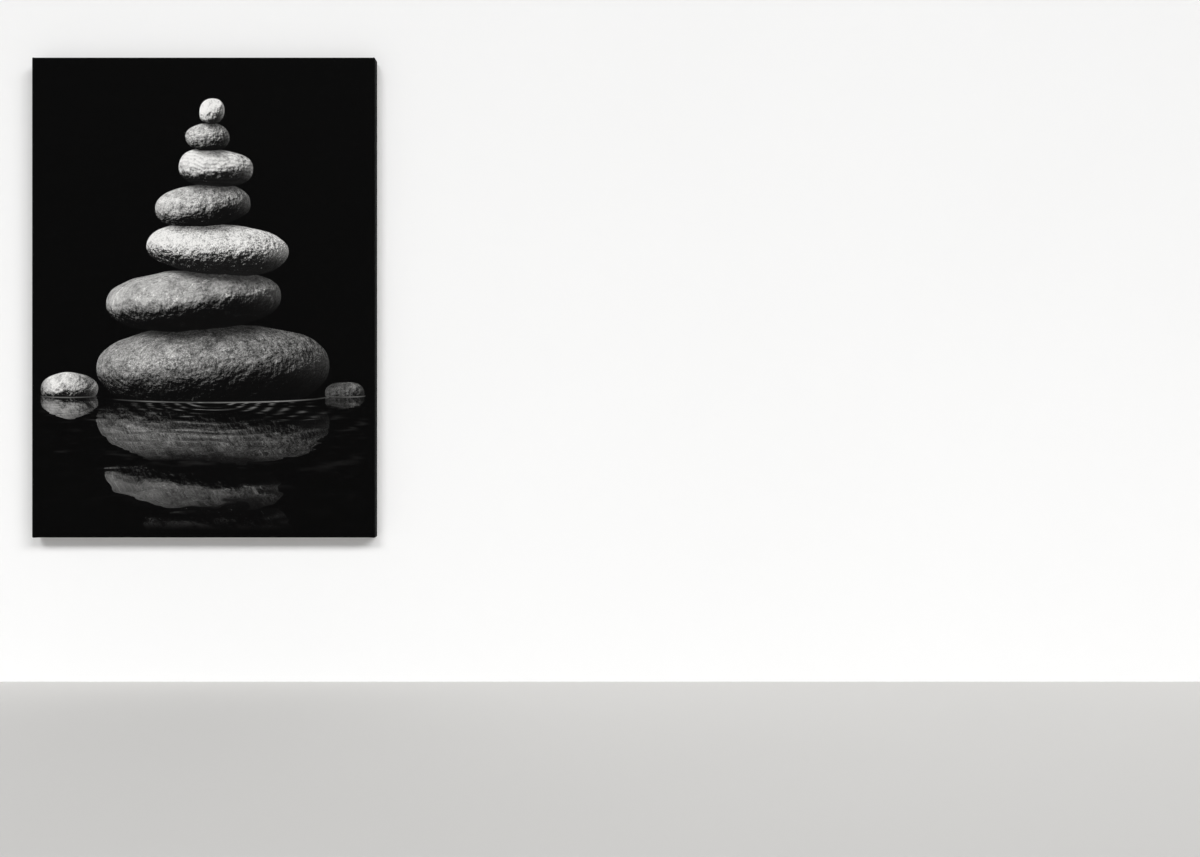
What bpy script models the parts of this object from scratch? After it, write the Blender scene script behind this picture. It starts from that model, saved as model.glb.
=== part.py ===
"""A frameless canvas print on a keyed wooden frame, hung on a wall by an aluminium cleat.

Metres, +Z up. The print faces -Y and the wall is the plane y = 0.
The origin is the middle of the cleat's wall face.
"""

import math

import bmesh
import bpy
from mathutils import Matrix, Vector

INCH = 0.0254

# The size of the print
WIDTH = 40 * INCH
HEIGHT = 56 * INCH
DEPTH = 0.038  # from the printed face to the back of the hem
STAND_OFF = 0.008  # from the back of the hem to the wall
TOP = 0.061  # from the middle of the cleat up to the top edge

# The cloth
CLOTH = 0.0006
HEM = 0.028  # cloth turned over the back of the bars
WRAP_RADIUS = 0.0025
GAP = 0.0003  # kept between pieces that touch

# The stretcher bars
BAR_WIDTH = 0.058
LIP_WIDTH = 0.007  # only this raised lip carries the cloth
LIP_SLOPE = 0.004
INNER_RELIEF = 0.006  # how far the inner edge lies behind the cloth
EDGE_ROUND = 0.0012

# The joints between the bars
TONGUE = 0.006
SLOT = TONGUE + 2 * GAP
FRONT_LAYER = -0.031  # y of the tongues on the level bars
BACK_LAYER = -0.019  # y of the tongues on the upright bars and the braces
BLIND_WALL = 0.004  # wood left outside the end of each tongue
OVERRUN = 0.002  # how far a cutter runs past what it cuts
ROOT = 0.005  # how far a tongue starts inside its own bar

# The braces
BRACE_WIDTH = 0.045
BRACE_THICKNESS = 0.020
BRACE_TONGUE_LENGTH = 0.020

# The keys
KEY_INSIDE = 0.028
KEY_OUTSIDE = 0.022
KEY_TIP = 0.004
KEY_BUTT = 0.016
KEY_CLIP = 0.004

# The cleat and its screws
CLEAT_LENGTH = 0.460
CLEAT_PLATE = 0.002
CLEAT_HOOK_HEIGHT = 0.022
CLEAT_FLANGE_HEIGHT = 0.022
CLEAT_SCREWS = 6
SCREW_SPACING = 0.084
SCREW_HEAD_RADIUS = 0.0040
SCREW_HEAD_HEIGHT = 0.0020
SCREW_RIM = 0.0009  # height of the straight edge under the head's dome
SCREW_TURN = 25  # most degrees that a recess is turned from level
SHANK_RADIUS = 0.0020
SHANK_LENGTH = 0.018
RECESS_WIDTH = 0.0010
RECESS_LENGTH = 0.0044
RECESS_DEPTH = 0.0012

# The rubber bumpers
BUMPER_RADIUS = 0.011
BUMPER_WELL_RADIUS = 0.0056
BUMPER_FLOOR = 0.003
BUMPER_EDGE = 0.0006  # rounding of the well's edges
BUMPER_ROUND = 0.0014  # rounding of the outer edge at the wall
BUMPER_TAPER = 0.0008
BUMPER_INSET = 0.080  # from the side edge of the print

# Worked out from the sizes above
BOTTOM = TOP - HEIGHT
MIDDLE = (TOP + BOTTOM) / 2
HEM_BACK = -STAND_OFF
FACE = HEM_BACK - DEPTH
SKIN = CLOTH + GAP
BAR_FRONT = FACE + SKIN
BAR_BACK = HEM_BACK - SKIN
HALF_WIDTH = WIDTH / 2 - SKIN  # of the wooden frame
HALF_HEIGHT = HEIGHT / 2 - SKIN
INNER_X = HALF_WIDTH - BAR_WIDTH
INNER_Z = HALF_HEIGHT - BAR_WIDTH
BAR_ROUND = WRAP_RADIUS - SKIN  # of the bars' outer edges, under the rounded cloth
KEY_ROOM = KEY_TIP + (KEY_BUTT - KEY_TIP) * KEY_INSIDE / (KEY_INSIDE + KEY_OUTSIDE) + 2 * GAP
DOWN = Vector((0, 0, -1))
UP = Vector((0, 0, 1))
LEFT = Vector((-1, 0, 0))
RIGHT = Vector((1, 0, 0))
BACK = Vector((0, 1, 0))

BEVEL_STEPS = 4
ROUND_STEPS = 24
SCREW_STEPS = 20
BUMPER_STEPS = 32
WELD = 0.00001


def clear_scene():
    for item in list(bpy.data.objects):
        bpy.data.objects.remove(item)


def new_collection(name):
    made = bpy.data.collections.new(name)
    bpy.context.scene.collection.children.link(made)
    return made


def new_material(name, colour, roughness, metallic=0.0):
    made = bpy.data.materials.new(name)
    made.use_nodes = True
    shader = made.node_tree.nodes["Principled BSDF"]
    shader.inputs["Base Color"].default_value = (*colour, 1)
    shader.inputs["Roughness"].default_value = roughness
    shader.inputs["Metallic"].default_value = metallic
    made.diffuse_color = (*colour, 1)
    return made


def rounded_outline(corners):
    """The points of a closed outline. Each corner is (x, y, radius), and its radius rounds it."""
    points = []
    for index, (x, y, radius) in enumerate(corners):
        here = Vector((x, y))
        if radius == 0:
            points.append(here)
            continue
        before = (Vector(corners[index - 1][:2]) - here).normalized()
        after = (Vector(corners[(index + 1) % len(corners)][:2]) - here).normalized()
        half_angle = before.angle(after) / 2
        centre = here + (before + after).normalized() * radius / math.sin(half_angle)
        start = here + before * radius / math.tan(half_angle) - centre
        sweep = start.angle_signed(here + after * radius / math.tan(half_angle) - centre)
        for step in range(BEVEL_STEPS + 1):
            points.append(centre + Matrix.Rotation(-sweep * step / BEVEL_STEPS, 2) @ start)
    return points


def extrude_outline(name, points, length):
    """A mesh object whose outline lies in its local XY plane, length long along its local Z."""
    curve = bpy.data.curves.new(name, "CURVE")
    curve.dimensions = "2D"
    curve.fill_mode = "BOTH"
    curve.extrude = length / 2
    spline = curve.splines.new("POLY")
    spline.points.add(len(points) - 1)
    for spot, point in zip(spline.points, points):
        spot.co = (point[0], point[1], 0, 1)
    spline.use_cyclic_u = True
    flat = bpy.data.objects.new(name + "_outline", curve)
    bpy.context.scene.collection.objects.link(flat)
    bpy.context.view_layer.update()
    mesh = bpy.data.meshes.new_from_object(flat.evaluated_get(bpy.context.evaluated_depsgraph_get()))
    bpy.data.objects.remove(flat)
    weld(mesh)
    mesh.name = name
    return bpy.data.objects.new(name, mesh)


def weld(mesh):
    shape = bmesh.new()
    shape.from_mesh(mesh)
    bmesh.ops.remove_doubles(shape, verts=shape.verts, dist=WELD)
    bmesh.ops.recalc_face_normals(shape, faces=shape.faces)
    shape.to_mesh(mesh)
    shape.free()


def box(name, low, high, bevel=0.0):
    """A box between two corners, with its size in its mesh."""
    low, high = Vector(low), Vector(high)
    mesh = bpy.data.meshes.new(name)
    shape = bmesh.new()
    bmesh.ops.create_cube(shape, size=1)
    size = high - low
    bmesh.ops.scale(shape, vec=size, verts=shape.verts)
    shape.to_mesh(mesh)
    shape.free()
    made = bpy.data.objects.new(name, mesh)
    made.location = (low + high) / 2
    if bevel:
        soften(made, bevel)
    return made


def box_between(name, first, second, bevel=0.0):
    """A box between any two opposite corners, given in any order."""
    low = [min(a, b) for a, b in zip(first, second)]
    high = [max(a, b) for a, b in zip(first, second)]
    return box(name, low, high, bevel)


def soften(item, width, steps=2):
    bevel = item.modifiers.new("Soft edges", "BEVEL")
    bevel.width = width
    bevel.segments = steps
    bevel.limit_method = "ANGLE"
    bevel.angle_limit = math.radians(30)


def turned(name, profile, steps=ROUND_STEPS, ring=False):
    """A solid turned about local Z. The profile is a list of (radius, height), from the top down."""
    mesh = bpy.data.meshes.new(name)
    edges = [(index, index + 1) for index in range(len(profile) - 1)]
    if ring:
        edges.append((len(profile) - 1, 0))
    mesh.from_pydata([(radius, 0, height) for radius, height in profile], edges, [])
    made = bpy.data.objects.new(name, mesh)
    lathe = made.modifiers.new("Turn", "SCREW")
    lathe.steps = steps
    lathe.render_steps = steps
    lathe.use_merge_vertices = True
    lathe.merge_threshold = WELD
    return made


def cut(item, cutter):
    """Cuts a helper's shape out of an object, and hides the helper."""
    cutter.hide_render = True
    cutter.display_type = "WIRE"
    HELPERS.objects.link(cutter)
    boolean = item.modifiers.new("Cut " + cutter.name, "BOOLEAN")
    boolean.operation = "DIFFERENCE"
    boolean.object = cutter


def join(item, piece):
    """Joins a helper's shape to an object, and hides the helper."""
    piece.hide_render = True
    piece.display_type = "WIRE"
    HELPERS.objects.link(piece)
    boolean = item.modifiers.new("Join " + piece.name, "BOOLEAN")
    boolean.operation = "UNION"
    boolean.object = piece


def finish(item, material, parent):
    item.data.materials.append(material)
    item.parent = parent
    PRINT.objects.link(item)
    return item


def axes(first, second, origin):
    """The matrix that turns local X to first and local Y to second, and moves to origin."""
    third = first.cross(second)
    columns = Matrix((first, second, third)).transposed()
    return Matrix.Translation(origin) @ columns.to_4x4()


def bar_profile():
    """The section of a stretcher bar as (distance in from the outer face, y)."""
    slope_end = LIP_WIDTH + LIP_SLOPE
    slope_depth = BAR_FRONT + LIP_SLOPE
    return rounded_outline(
        [
            (0, BAR_FRONT, BAR_ROUND),
            (LIP_WIDTH, BAR_FRONT, EDGE_ROUND),
            (slope_end, slope_depth, 0),
            (BAR_WIDTH, BAR_FRONT + INNER_RELIEF, EDGE_ROUND),
            (BAR_WIDTH, BAR_BACK, EDGE_ROUND),
            (0, BAR_BACK, BAR_ROUND),
        ]
    )


def mitred_bar(name, inward, outer_distance, half_length):
    """A bar with mitred ends and blunt tips. Inward points from the bar to the frame's middle."""
    bar = extrude_outline(name, bar_profile(), 2 * half_length)
    for vertex in bar.data.vertices:
        end = 1 if vertex.co.z > 0 else -1
        mitre = vertex.co.x + GAP
        tip = BAR_ROUND - vertex.co.x
        vertex.co.z = end * (half_length - max(mitre, tip))
    middle = Vector((0, 0, MIDDLE)) - inward * outer_distance
    bar.matrix_world = axes(inward, BACK, middle)
    return bar


def corner_point(side, end, from_x, from_z, y):
    """The point that far from the frame's middle in X and Z, towards one corner."""
    return (side * from_x, y, MIDDLE + end * from_z)


def tongue_end(side, end, y):
    """The outer corner of a tongue, just short of the blind wall of its slot."""
    short = BLIND_WALL + GAP
    return corner_point(side, end, HALF_WIDTH - short, HALF_HEIGHT - short, y)


def level_bar(name, end):
    """The top bar where end is 1, and the bottom bar where it is -1."""
    bar = mitred_bar(name, DOWN * end, HALF_HEIGHT, HALF_WIDTH)
    for side in (-1, 1):
        label = f"{name}_{'left' if side < 0 else 'right'}"
        tongue = box_between(
            label + "_tongue",
            corner_point(side, end, INNER_X - ROOT, INNER_Z, FRONT_LAYER - TONGUE / 2),
            tongue_end(side, end, FRONT_LAYER + TONGUE / 2),
        )
        slot = box_between(
            label + "_slot",
            corner_point(side, end, INNER_X - KEY_ROOM, INNER_Z - OVERRUN, BACK_LAYER - SLOT / 2),
            corner_point(side, end, HALF_WIDTH + OVERRUN, HALF_HEIGHT - BLIND_WALL, BACK_LAYER + SLOT / 2),
        )
        cut(bar, slot)
        join(bar, tongue)
    mortise = box_between(
        name + "_mortise",
        (-BRACE_WIDTH / 2 - KEY_ROOM, BACK_LAYER - SLOT / 2, MIDDLE + end * (INNER_Z - OVERRUN)),
        (BRACE_WIDTH / 2 + KEY_ROOM, BACK_LAYER + SLOT / 2, MIDDLE + end * (INNER_Z + KEY_INSIDE + GAP)),
    )
    cut(bar, mortise)
    return bar


def upright_bar(name, side):
    """The right bar where side is 1, and the left bar where it is -1."""
    bar = mitred_bar(name, LEFT * side, HALF_WIDTH, HALF_HEIGHT)
    for end in (-1, 1):
        label = f"{name}_{'bottom' if end < 0 else 'top'}"
        tongue = box_between(
            label + "_tongue",
            corner_point(side, end, INNER_X, INNER_Z - ROOT, BACK_LAYER - TONGUE / 2),
            tongue_end(side, end, BACK_LAYER + TONGUE / 2),
        )
        slot = box_between(
            label + "_slot",
            corner_point(side, end, INNER_X - OVERRUN, INNER_Z - KEY_ROOM, FRONT_LAYER - SLOT / 2),
            corner_point(side, end, HALF_WIDTH - BLIND_WALL, HALF_HEIGHT + OVERRUN, FRONT_LAYER + SLOT / 2),
        )
        cut(bar, slot)
        join(bar, tongue)
    mortise = box_between(
        name + "_mortise",
        (side * (INNER_X - OVERRUN), BACK_LAYER - SLOT / 2, MIDDLE - BRACE_WIDTH / 2 - KEY_ROOM),
        (side * (INNER_X + KEY_INSIDE + GAP), BACK_LAYER + SLOT / 2, MIDDLE + BRACE_WIDTH / 2 + KEY_ROOM),
    )
    cut(bar, mortise)
    return bar


def brace(name, along, across, half_span, notch_at_back):
    """A flat brace between two bars, with a tongue at each end and a half-lap notch in the middle."""
    middle = Vector((0, 0, MIDDLE))
    front, split = BAR_BACK - BRACE_THICKNESS, BAR_BACK - BRACE_THICKNESS / 2
    end = along * (half_span - GAP) + across * BRACE_WIDTH / 2
    made = box_between(
        name,
        middle - end + BACK * front,
        middle + end + BACK * BAR_BACK,
        EDGE_ROUND,
    )
    reach = along * (half_span + BRACE_TONGUE_LENGTH) + across * BRACE_WIDTH / 2
    tongue = box_between(
        name + "_tongues",
        middle - reach + BACK * (BACK_LAYER - TONGUE / 2) + across * GAP,
        middle + reach + BACK * (BACK_LAYER + TONGUE / 2) - across * GAP,
    )
    join(made, tongue)
    edge = along * (BRACE_WIDTH / 2 + GAP) + across * (BRACE_WIDTH / 2 + OVERRUN)
    if notch_at_back:
        notch_from, notch_to = split - GAP / 2, BAR_BACK + OVERRUN
    else:
        notch_from, notch_to = front - OVERRUN, split + GAP / 2
    notch = box_between(name + "_notch", middle - edge + BACK * notch_from, middle + edge + BACK * notch_to)
    cut(made, notch)
    return made


def key(name, mouth, inward, swell, layer):
    """A wedge with its straight edge at the slot's mouth, driven in along inward. It widens towards swell."""
    outline = [
        (KEY_INSIDE, 0),
        (KEY_INSIDE, KEY_TIP),
        (-KEY_OUTSIDE, KEY_BUTT),
        (-KEY_OUTSIDE, KEY_CLIP),
        (-KEY_OUTSIDE + KEY_CLIP, 0),
    ]
    made = extrude_outline(name, outline, TONGUE)
    made.matrix_world = axes(inward, swell, mouth + swell * GAP + BACK * layer)
    return made


def corner_keys(corner, side, end):
    """The two keys of one corner: one under the level bar, and one beside the upright bar."""
    mouth = Vector(corner_point(side, end, INNER_X, INNER_Z, 0))
    return [
        key(f"key_{corner}_level", mouth, RIGHT * side, DOWN * end, FRONT_LAYER),
        key(f"key_{corner}_upright", mouth, UP * end, LEFT * side, BACK_LAYER),
    ]


def brace_keys(place, along, across, half_span):
    """The two keys beside one end of a brace."""
    mouth = Vector((0, 0, MIDDLE)) + along * half_span
    keys = []
    for number, aside in ((1, -across), (2, across)):
        name = f"key_brace_{place}_{number}"
        keys.append(key(name, mouth + aside * BRACE_WIDTH / 2, along, aside, BACK_LAYER))
    return keys


def canvas():
    """The cloth: one thin skin over the face and the edges, turned over the back of the bars."""
    half_x, half_z = WIDTH / 2, HEIGHT / 2
    cloth = box("canvas", (-half_x, FACE, MIDDLE - half_z), (half_x, HEM_BACK, MIDDLE + half_z), WRAP_RADIUS)
    cloth.modifiers["Soft edges"].segments = BEVEL_STEPS
    inside = box(
        "canvas_inside",
        (-half_x + CLOTH, FACE + CLOTH, MIDDLE - half_z + CLOTH),
        (half_x - CLOTH, HEM_BACK - CLOTH, MIDDLE + half_z - CLOTH),
        WRAP_RADIUS - CLOTH,
    )
    inside.modifiers["Soft edges"].segments = BEVEL_STEPS
    opening = box(
        "canvas_opening",
        (-half_x + HEM, HEM_BACK - DEPTH / 2, MIDDLE - half_z + HEM),
        (half_x - HEM, HEM_BACK + OVERRUN, MIDDLE + half_z - HEM),
    )
    cut(cloth, inside)
    cut(cloth, opening)
    return cloth


def cleat():
    """A Z-shaped aluminium strip: a flange on the top bar, and a hook that hangs down against the wall."""
    hook_top = CLEAT_HOOK_HEIGHT / 2
    wood = BAR_BACK + GAP
    section = rounded_outline(
        [
            (0, -CLEAT_HOOK_HEIGHT / 2, CLEAT_PLATE / 4),
            (0, hook_top, CLEAT_PLATE / 4),
            (wood + CLEAT_PLATE, hook_top, CLEAT_PLATE / 4),
            (wood + CLEAT_PLATE, hook_top + CLEAT_FLANGE_HEIGHT - CLEAT_PLATE, CLEAT_PLATE / 4),
            (wood, hook_top + CLEAT_FLANGE_HEIGHT - CLEAT_PLATE, CLEAT_PLATE / 4),
            (wood, hook_top - CLEAT_PLATE, CLEAT_PLATE / 4),
            (-CLEAT_PLATE, hook_top - CLEAT_PLATE, CLEAT_PLATE / 4),
            (-CLEAT_PLATE, -CLEAT_HOOK_HEIGHT / 2, CLEAT_PLATE / 4),
        ]
    )
    strip = extrude_outline("cleat", section, CLEAT_LENGTH)
    strip.matrix_world = axes(BACK, UP, Vector((0, 0, 0)))
    return strip


def screw_places():
    """Where the cleat's screws stand on the back of the top bar."""
    height = CLEAT_HOOK_HEIGHT / 2 + (CLEAT_FLANGE_HEIGHT - CLEAT_PLATE) / 2 + CLEAT_PLATE / 2
    first = -SCREW_SPACING * (CLEAT_SCREWS - 1) / 2
    return [Vector((first + SCREW_SPACING * number, 0, height)) for number in range(CLEAT_SCREWS)]


def drill(item, places, radius, front, back):
    """Bores a round hole along Y at each place."""
    mesh = bpy.data.meshes.new(item.name + "_bores")
    shape = bmesh.new()
    lying = Matrix.Rotation(math.radians(90), 4, "X")
    for place in places:
        middle = Matrix.Translation((place.x, (front + back) / 2, place.z))
        bmesh.ops.create_cone(
            shape,
            cap_ends=True,
            segments=ROUND_STEPS,
            radius1=radius,
            radius2=radius,
            depth=back - front,
            matrix=middle @ lying,
        )
    shape.to_mesh(mesh)
    shape.free()
    cut(item, bpy.data.objects.new(item.name + "_bores", mesh))


def screw(name, place, seat):
    """A pan-head screw with a cross recess. Its head sits at y = seat and its shank runs into the wood."""
    swell = SCREW_HEAD_HEIGHT - SCREW_RIM
    profile = [(0, SCREW_HEAD_HEIGHT)]
    for angle in [math.radians(degrees) for degrees in (72, 54, 36, 18, 0)]:
        profile.append((SCREW_HEAD_RADIUS * math.cos(angle), SCREW_RIM + swell * math.sin(angle)))
    profile += [
        (SCREW_HEAD_RADIUS, 0),
        (SHANK_RADIUS, 0),
        (SHANK_RADIUS, -SHANK_LENGTH + 2 * SHANK_RADIUS),
        (0, -SHANK_LENGTH),
    ]
    made = turned(name, profile, steps=SCREW_STEPS)
    made.matrix_world = axes(RIGHT, DOWN, Vector((place.x, seat, place.z)))
    made.data.shade_smooth()
    for number, angle in enumerate((0, 90)):
        blade = box(
            f"{name}_recess_{number}",
            (-RECESS_LENGTH / 2, -RECESS_WIDTH / 2, SCREW_HEAD_HEIGHT - RECESS_DEPTH),
            (RECESS_LENGTH / 2, RECESS_WIDTH / 2, SCREW_HEAD_HEIGHT + OVERRUN),
        )
        turn = Matrix.Rotation(math.radians(angle + SCREW_TURN * math.sin(place.x * 40)), 4, "Z")
        blade.matrix_world = made.matrix_world @ turn @ blade.matrix_basis
        cut(made, blade)
    return made


def bumper_places():
    height = BOTTOM + SKIN + HEM + (BAR_WIDTH - HEM) / 2
    return {
        "left": Vector((-WIDTH / 2 + BUMPER_INSET, 0, height)),
        "right": Vector((WIDTH / 2 - BUMPER_INSET, 0, height)),
    }


def bumper(name, place):
    """A round rubber foot with a well for its screw. Its outer face lies against the wall."""
    base = BAR_BACK + GAP
    floor = base + BUMPER_FLOOR
    hole = SHANK_RADIUS + GAP
    profile = rounded_outline(
        [
            (hole, floor, 0),
            (BUMPER_WELL_RADIUS, floor, BUMPER_EDGE),
            (BUMPER_WELL_RADIUS, 0, BUMPER_EDGE),
            (BUMPER_RADIUS - BUMPER_TAPER, 0, BUMPER_ROUND),
            (BUMPER_RADIUS, base, 0),
            (hole, base, 0),
        ]
    )
    made = turned(name, profile, steps=BUMPER_STEPS, ring=True)
    made.matrix_world = axes(RIGHT, DOWN, Vector((place.x, 0, place.z)))
    made.data.shade_smooth()
    return made


clear_scene()
PRINT = new_collection("canvas_print")
HELPERS = new_collection("helpers")
root = bpy.data.objects.new("frame_origin", None)
PRINT.objects.link(root)

ink = new_material("printed_canvas", (0.012, 0.012, 0.012), 0.6)
pine = new_material("pine", (0.72, 0.53, 0.33), 0.62)
birch = new_material("birch", (0.80, 0.66, 0.46), 0.6)
aluminium = new_material("aluminium", (0.66, 0.67, 0.68), 0.35, 1.0)
zinc = new_material("zinc", (0.62, 0.62, 0.60), 0.3, 1.0)
rubber = new_material("rubber", (0.03, 0.03, 0.03), 0.75)

finish(canvas(), ink, root)

top_bar = level_bar("bar_top", 1)
bottom_bar = level_bar("bar_bottom", -1)
left_bar = upright_bar("bar_left", -1)
right_bar = upright_bar("bar_right", 1)
cleat_strip = cleat()

cleat_seat = BAR_BACK + GAP + CLEAT_PLATE + GAP
bumper_seat = BAR_BACK + GAP + BUMPER_FLOOR + GAP
bore = SHANK_RADIUS + GAP
bore_end = BAR_BACK + GAP - SHANK_LENGTH
drill(top_bar, screw_places(), bore, bore_end, BAR_BACK + OVERRUN)
drill(cleat_strip, screw_places(), bore, BAR_BACK - OVERRUN, cleat_seat + OVERRUN)
drill(bottom_bar, bumper_places().values(), bore, bore_end, BAR_BACK + OVERRUN)
for number, place in enumerate(screw_places()):
    finish(screw(f"cleat_screw_{number + 1}", place, cleat_seat), zinc, root)
for side_name, place in bumper_places().items():
    finish(bumper(f"bumper_{side_name}", place), rubber, root)
    finish(screw(f"bumper_screw_{side_name}", place, bumper_seat), zinc, root)

for bar in (top_bar, bottom_bar, left_bar, right_bar):
    finish(bar, pine, root)
finish(cleat_strip, aluminium, root)
finish(brace("brace_upright", UP, RIGHT, INNER_Z, True), pine, root)
finish(brace("brace_level", RIGHT, UP, INNER_X, False), pine, root)

wedges = []
for corner, side, end in (
    ("top_left", -1, 1),
    ("top_right", 1, 1),
    ("bottom_left", -1, -1),
    ("bottom_right", 1, -1),
):
    wedges += corner_keys(corner, side, end)
for place, along, across, span in (
    ("top", UP, RIGHT, INNER_Z),
    ("bottom", DOWN, RIGHT, INNER_Z),
    ("left", LEFT, UP, INNER_X),
    ("right", RIGHT, UP, INNER_X),
):
    wedges += brace_keys(place, along, across, span)
for wedge in wedges:
    finish(wedge, birch, root)
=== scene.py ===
"""Looks of the large canvas wall print: cloth, picture, staples, timber, keys, screws and feet.

Metres, +Z up, the wall plane at y = 0 and the picture facing -Y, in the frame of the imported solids.
"""
import math
from collections import namedtuple

import bmesh
import bpy
from mathutils import Matrix, Vector, noise


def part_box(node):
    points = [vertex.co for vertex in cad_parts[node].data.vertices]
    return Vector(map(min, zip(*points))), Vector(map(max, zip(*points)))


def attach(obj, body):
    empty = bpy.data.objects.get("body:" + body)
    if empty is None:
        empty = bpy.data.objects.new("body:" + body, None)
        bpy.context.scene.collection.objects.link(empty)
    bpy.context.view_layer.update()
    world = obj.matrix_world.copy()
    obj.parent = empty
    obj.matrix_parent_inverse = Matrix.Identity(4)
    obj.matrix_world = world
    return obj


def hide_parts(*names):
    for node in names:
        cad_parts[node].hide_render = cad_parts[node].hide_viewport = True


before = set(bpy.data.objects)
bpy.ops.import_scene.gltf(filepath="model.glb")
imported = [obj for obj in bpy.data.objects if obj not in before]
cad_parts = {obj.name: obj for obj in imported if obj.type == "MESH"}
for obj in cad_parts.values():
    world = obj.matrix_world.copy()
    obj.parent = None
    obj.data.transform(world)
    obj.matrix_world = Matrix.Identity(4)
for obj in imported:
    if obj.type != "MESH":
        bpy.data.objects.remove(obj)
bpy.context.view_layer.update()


# Sizes of the print, read from the frame
CANVAS_LOW, CANVAS_HIGH = (Vector(corner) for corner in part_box("canvas"))
HALF_WIDTH = (CANVAS_HIGH.x - CANVAS_LOW.x) / 2
HALF_HEIGHT = (CANVAS_HIGH.z - CANVAS_LOW.z) / 2
MIDDLE = (CANVAS_HIGH.z + CANVAS_LOW.z) / 2
FACE = CANVAS_LOW.y
HEM_BACK = CANVAS_HIGH.y

# Cloth
CLOTH = 0.0006
WRAP_RADIUS = 0.0025
HEM = 0.028
MESH_PITCH = 0.0086
CORNER_STEPS = (0.0002, 0.0005, 0.0012, 0.003, 0.0055)
FAN = 3
ROUND_STEPS = 4
SIDE_STEPS = 5
HEM_STEPS = 5
PLEAT = 0.0012
PLEAT_EDGE = 0.0005
PLEAT_SLOPE = 0.006
PLEAT_REACH = 0.040
LIP = 0.007
LIP_DEPTH = 0.00010
LIP_WIDTH = 0.004
SLACK = 0.00035
SLACK_SCALE = 3.1
SLACK_LAYER = 4.0
SLACK_FULL = 0.12
STAPLE_PITCH = 0.050
SCALLOP = 0.00012
SCALLOP_START = 0.002
SCALLOP_FULL = 0.012
SCALLOP_REACH = 0.03
PUCKER = 0.0002
PUCKER_START = 0.6
PUCKER_CORNER = 0.02
PRINT_BLEED = 0.0095
SIDE_END = (HEM_BACK - FACE - 2 * WRAP_RADIUS) + WRAP_RADIUS * math.pi / 2
Step = namedtuple("Step", "x z lean_x lean_z distance side run")
Ring = namedtuple("Ring", "outset depth way")

# Where each part of the cloth lies in its bake map
MAP_EDGE = 0.005
MAP_SLIP = 0.001
FACE_PATCH = (0.005, 0.660)
WRAP_PATCHES = ((0.668, 0.702), (0.708, 0.742), (0.748, 0.782), (0.788, 0.822))
LINING_PATCH = (0.830, 0.989)
HIDDEN_PATCH = (0.748, 0.822, 0.740, 0.995)
EDGE_PATCH = (0.994, 0.998)

# Staples and frayed threads on the hem
STAPLE_INSET = 0.0165
STAPLE_CROWN = 0.0115
STAPLE_LEG = 0.0016
STAPLE_WIRE = (0.0012, 0.0005)
STAPLE_BEND = 0.0006
STAPLE_SWING = 7.0
THREAD_PITCH = 0.0078
THREAD_LENGTH = 0.0042
THREAD_RADIUS = 0.00012
THREAD_STRAY = 55.0
THREAD_TILTS = (-0.03, 0.05)
THREAD_SIZES = (0.35, 1.5)
THREAD_SINK = CLOTH * 0.6
THREAD_CURL = {"Start": (0.0, 0.15, 0.0), "Middle": (0.10, -0.5, 0.05), "End": (0.38, -1.0, 0.0)}

# Screws and feet
ROUND_SIDES = 48
WELD = 1e-6
SCREW_HEAD_RADIUS = 0.004
SCREW_HEAD_HEIGHT = 0.002
SCREW_SEAT_RADIUS = SCREW_HEAD_RADIUS * 0.98
SCREW_SEAT_EDGE = SCREW_HEAD_HEIGHT * 0.12
SCREW_RIM_START = SCREW_HEAD_RADIUS * 0.80
SCREW_RIM_HEIGHT = SCREW_HEAD_HEIGHT * 0.42
SCREW_RIM_TURN = 62
SCREW_RIM_STEPS = 5
SCREW_CROWN_RADIUS = SCREW_HEAD_RADIUS * 2.6
SCREW_CROWN_STEPS = 6
SCREW_RECESS_REACH = 0.0023
SCREW_RECESS_WIDTH = 0.0011
SCREW_RECESS_DEPTH = 0.0011
SCREW_RECESS_TAPER = 0.55
SCREW_CUTTER_TOP = SCREW_HEAD_HEIGHT * 1.5
SCREW_CREASE = 35
FOOT_RADIUS = 0.011
FOOT_CHAMFER = 0.0004
FOOT_SKIRT = 0.0022
FOOT_TAPER = 0.0006
FOOT_ROUND = 0.0016
FOOT_ROUND_STEPS = 6
FOOT_WELL = 0.0056
FOOT_WELL_DEPTH = 0.0056
FOOT_WELL_ROUND = 0.0006
FOOT_WELL_STEPS = 3
FOOT_BORE = 0.0022
FOOT_CREASE = 50

# Keys
KEY_EDGE = 0.0004
KEY_EDGE_STEPS = 2
KEY_FLATNESS = math.radians(1)

# Camera: straight at the wall, the print at the left of the view
CAMERA_PLACE = (1.175, -3.502, -1.0382)
CAMERA_LENS = 35.0
CAMERA_SENSOR = 36.0
CAMERA_CLIP = (0.01, 60.0)

# Stage
FLOOR = -1.798
WALL_PLANE = 0.0006
WALL_TOP = 5.0
STAGE_REACH = 12.0

# Light
KEY_TURNS = (-23.0, -8.0, 28.0, 44.0, 55.0)
KEY_DROP = 0.81
KEY_SOFTNESS = 17.0
KEY_POWER = 0.605
BACK_SUNS = ((150.0, 35.0), (180.0, 20.0), (210.0, 35.0))
BACK_SOFTNESS = 60.0
BACK_POWER = 0.85
ROOM_LIGHT = 0.20
ROOM_LOOK = 0.90
FLOOR_BOUNCE = 0.225
FLOOR_BOUNCE_REACH = 6.0


def adds(operation):
    """A method of Value that adds one Math node, with the value itself first."""
    def method(value, *others):
        return value.math(operation, value, *others)
    return method


def adds_reflected(operation):
    """The same with a plain number first, so that 1 - mask works."""
    def method(value, other):
        return value.math(operation, other, value)
    return method


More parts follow.
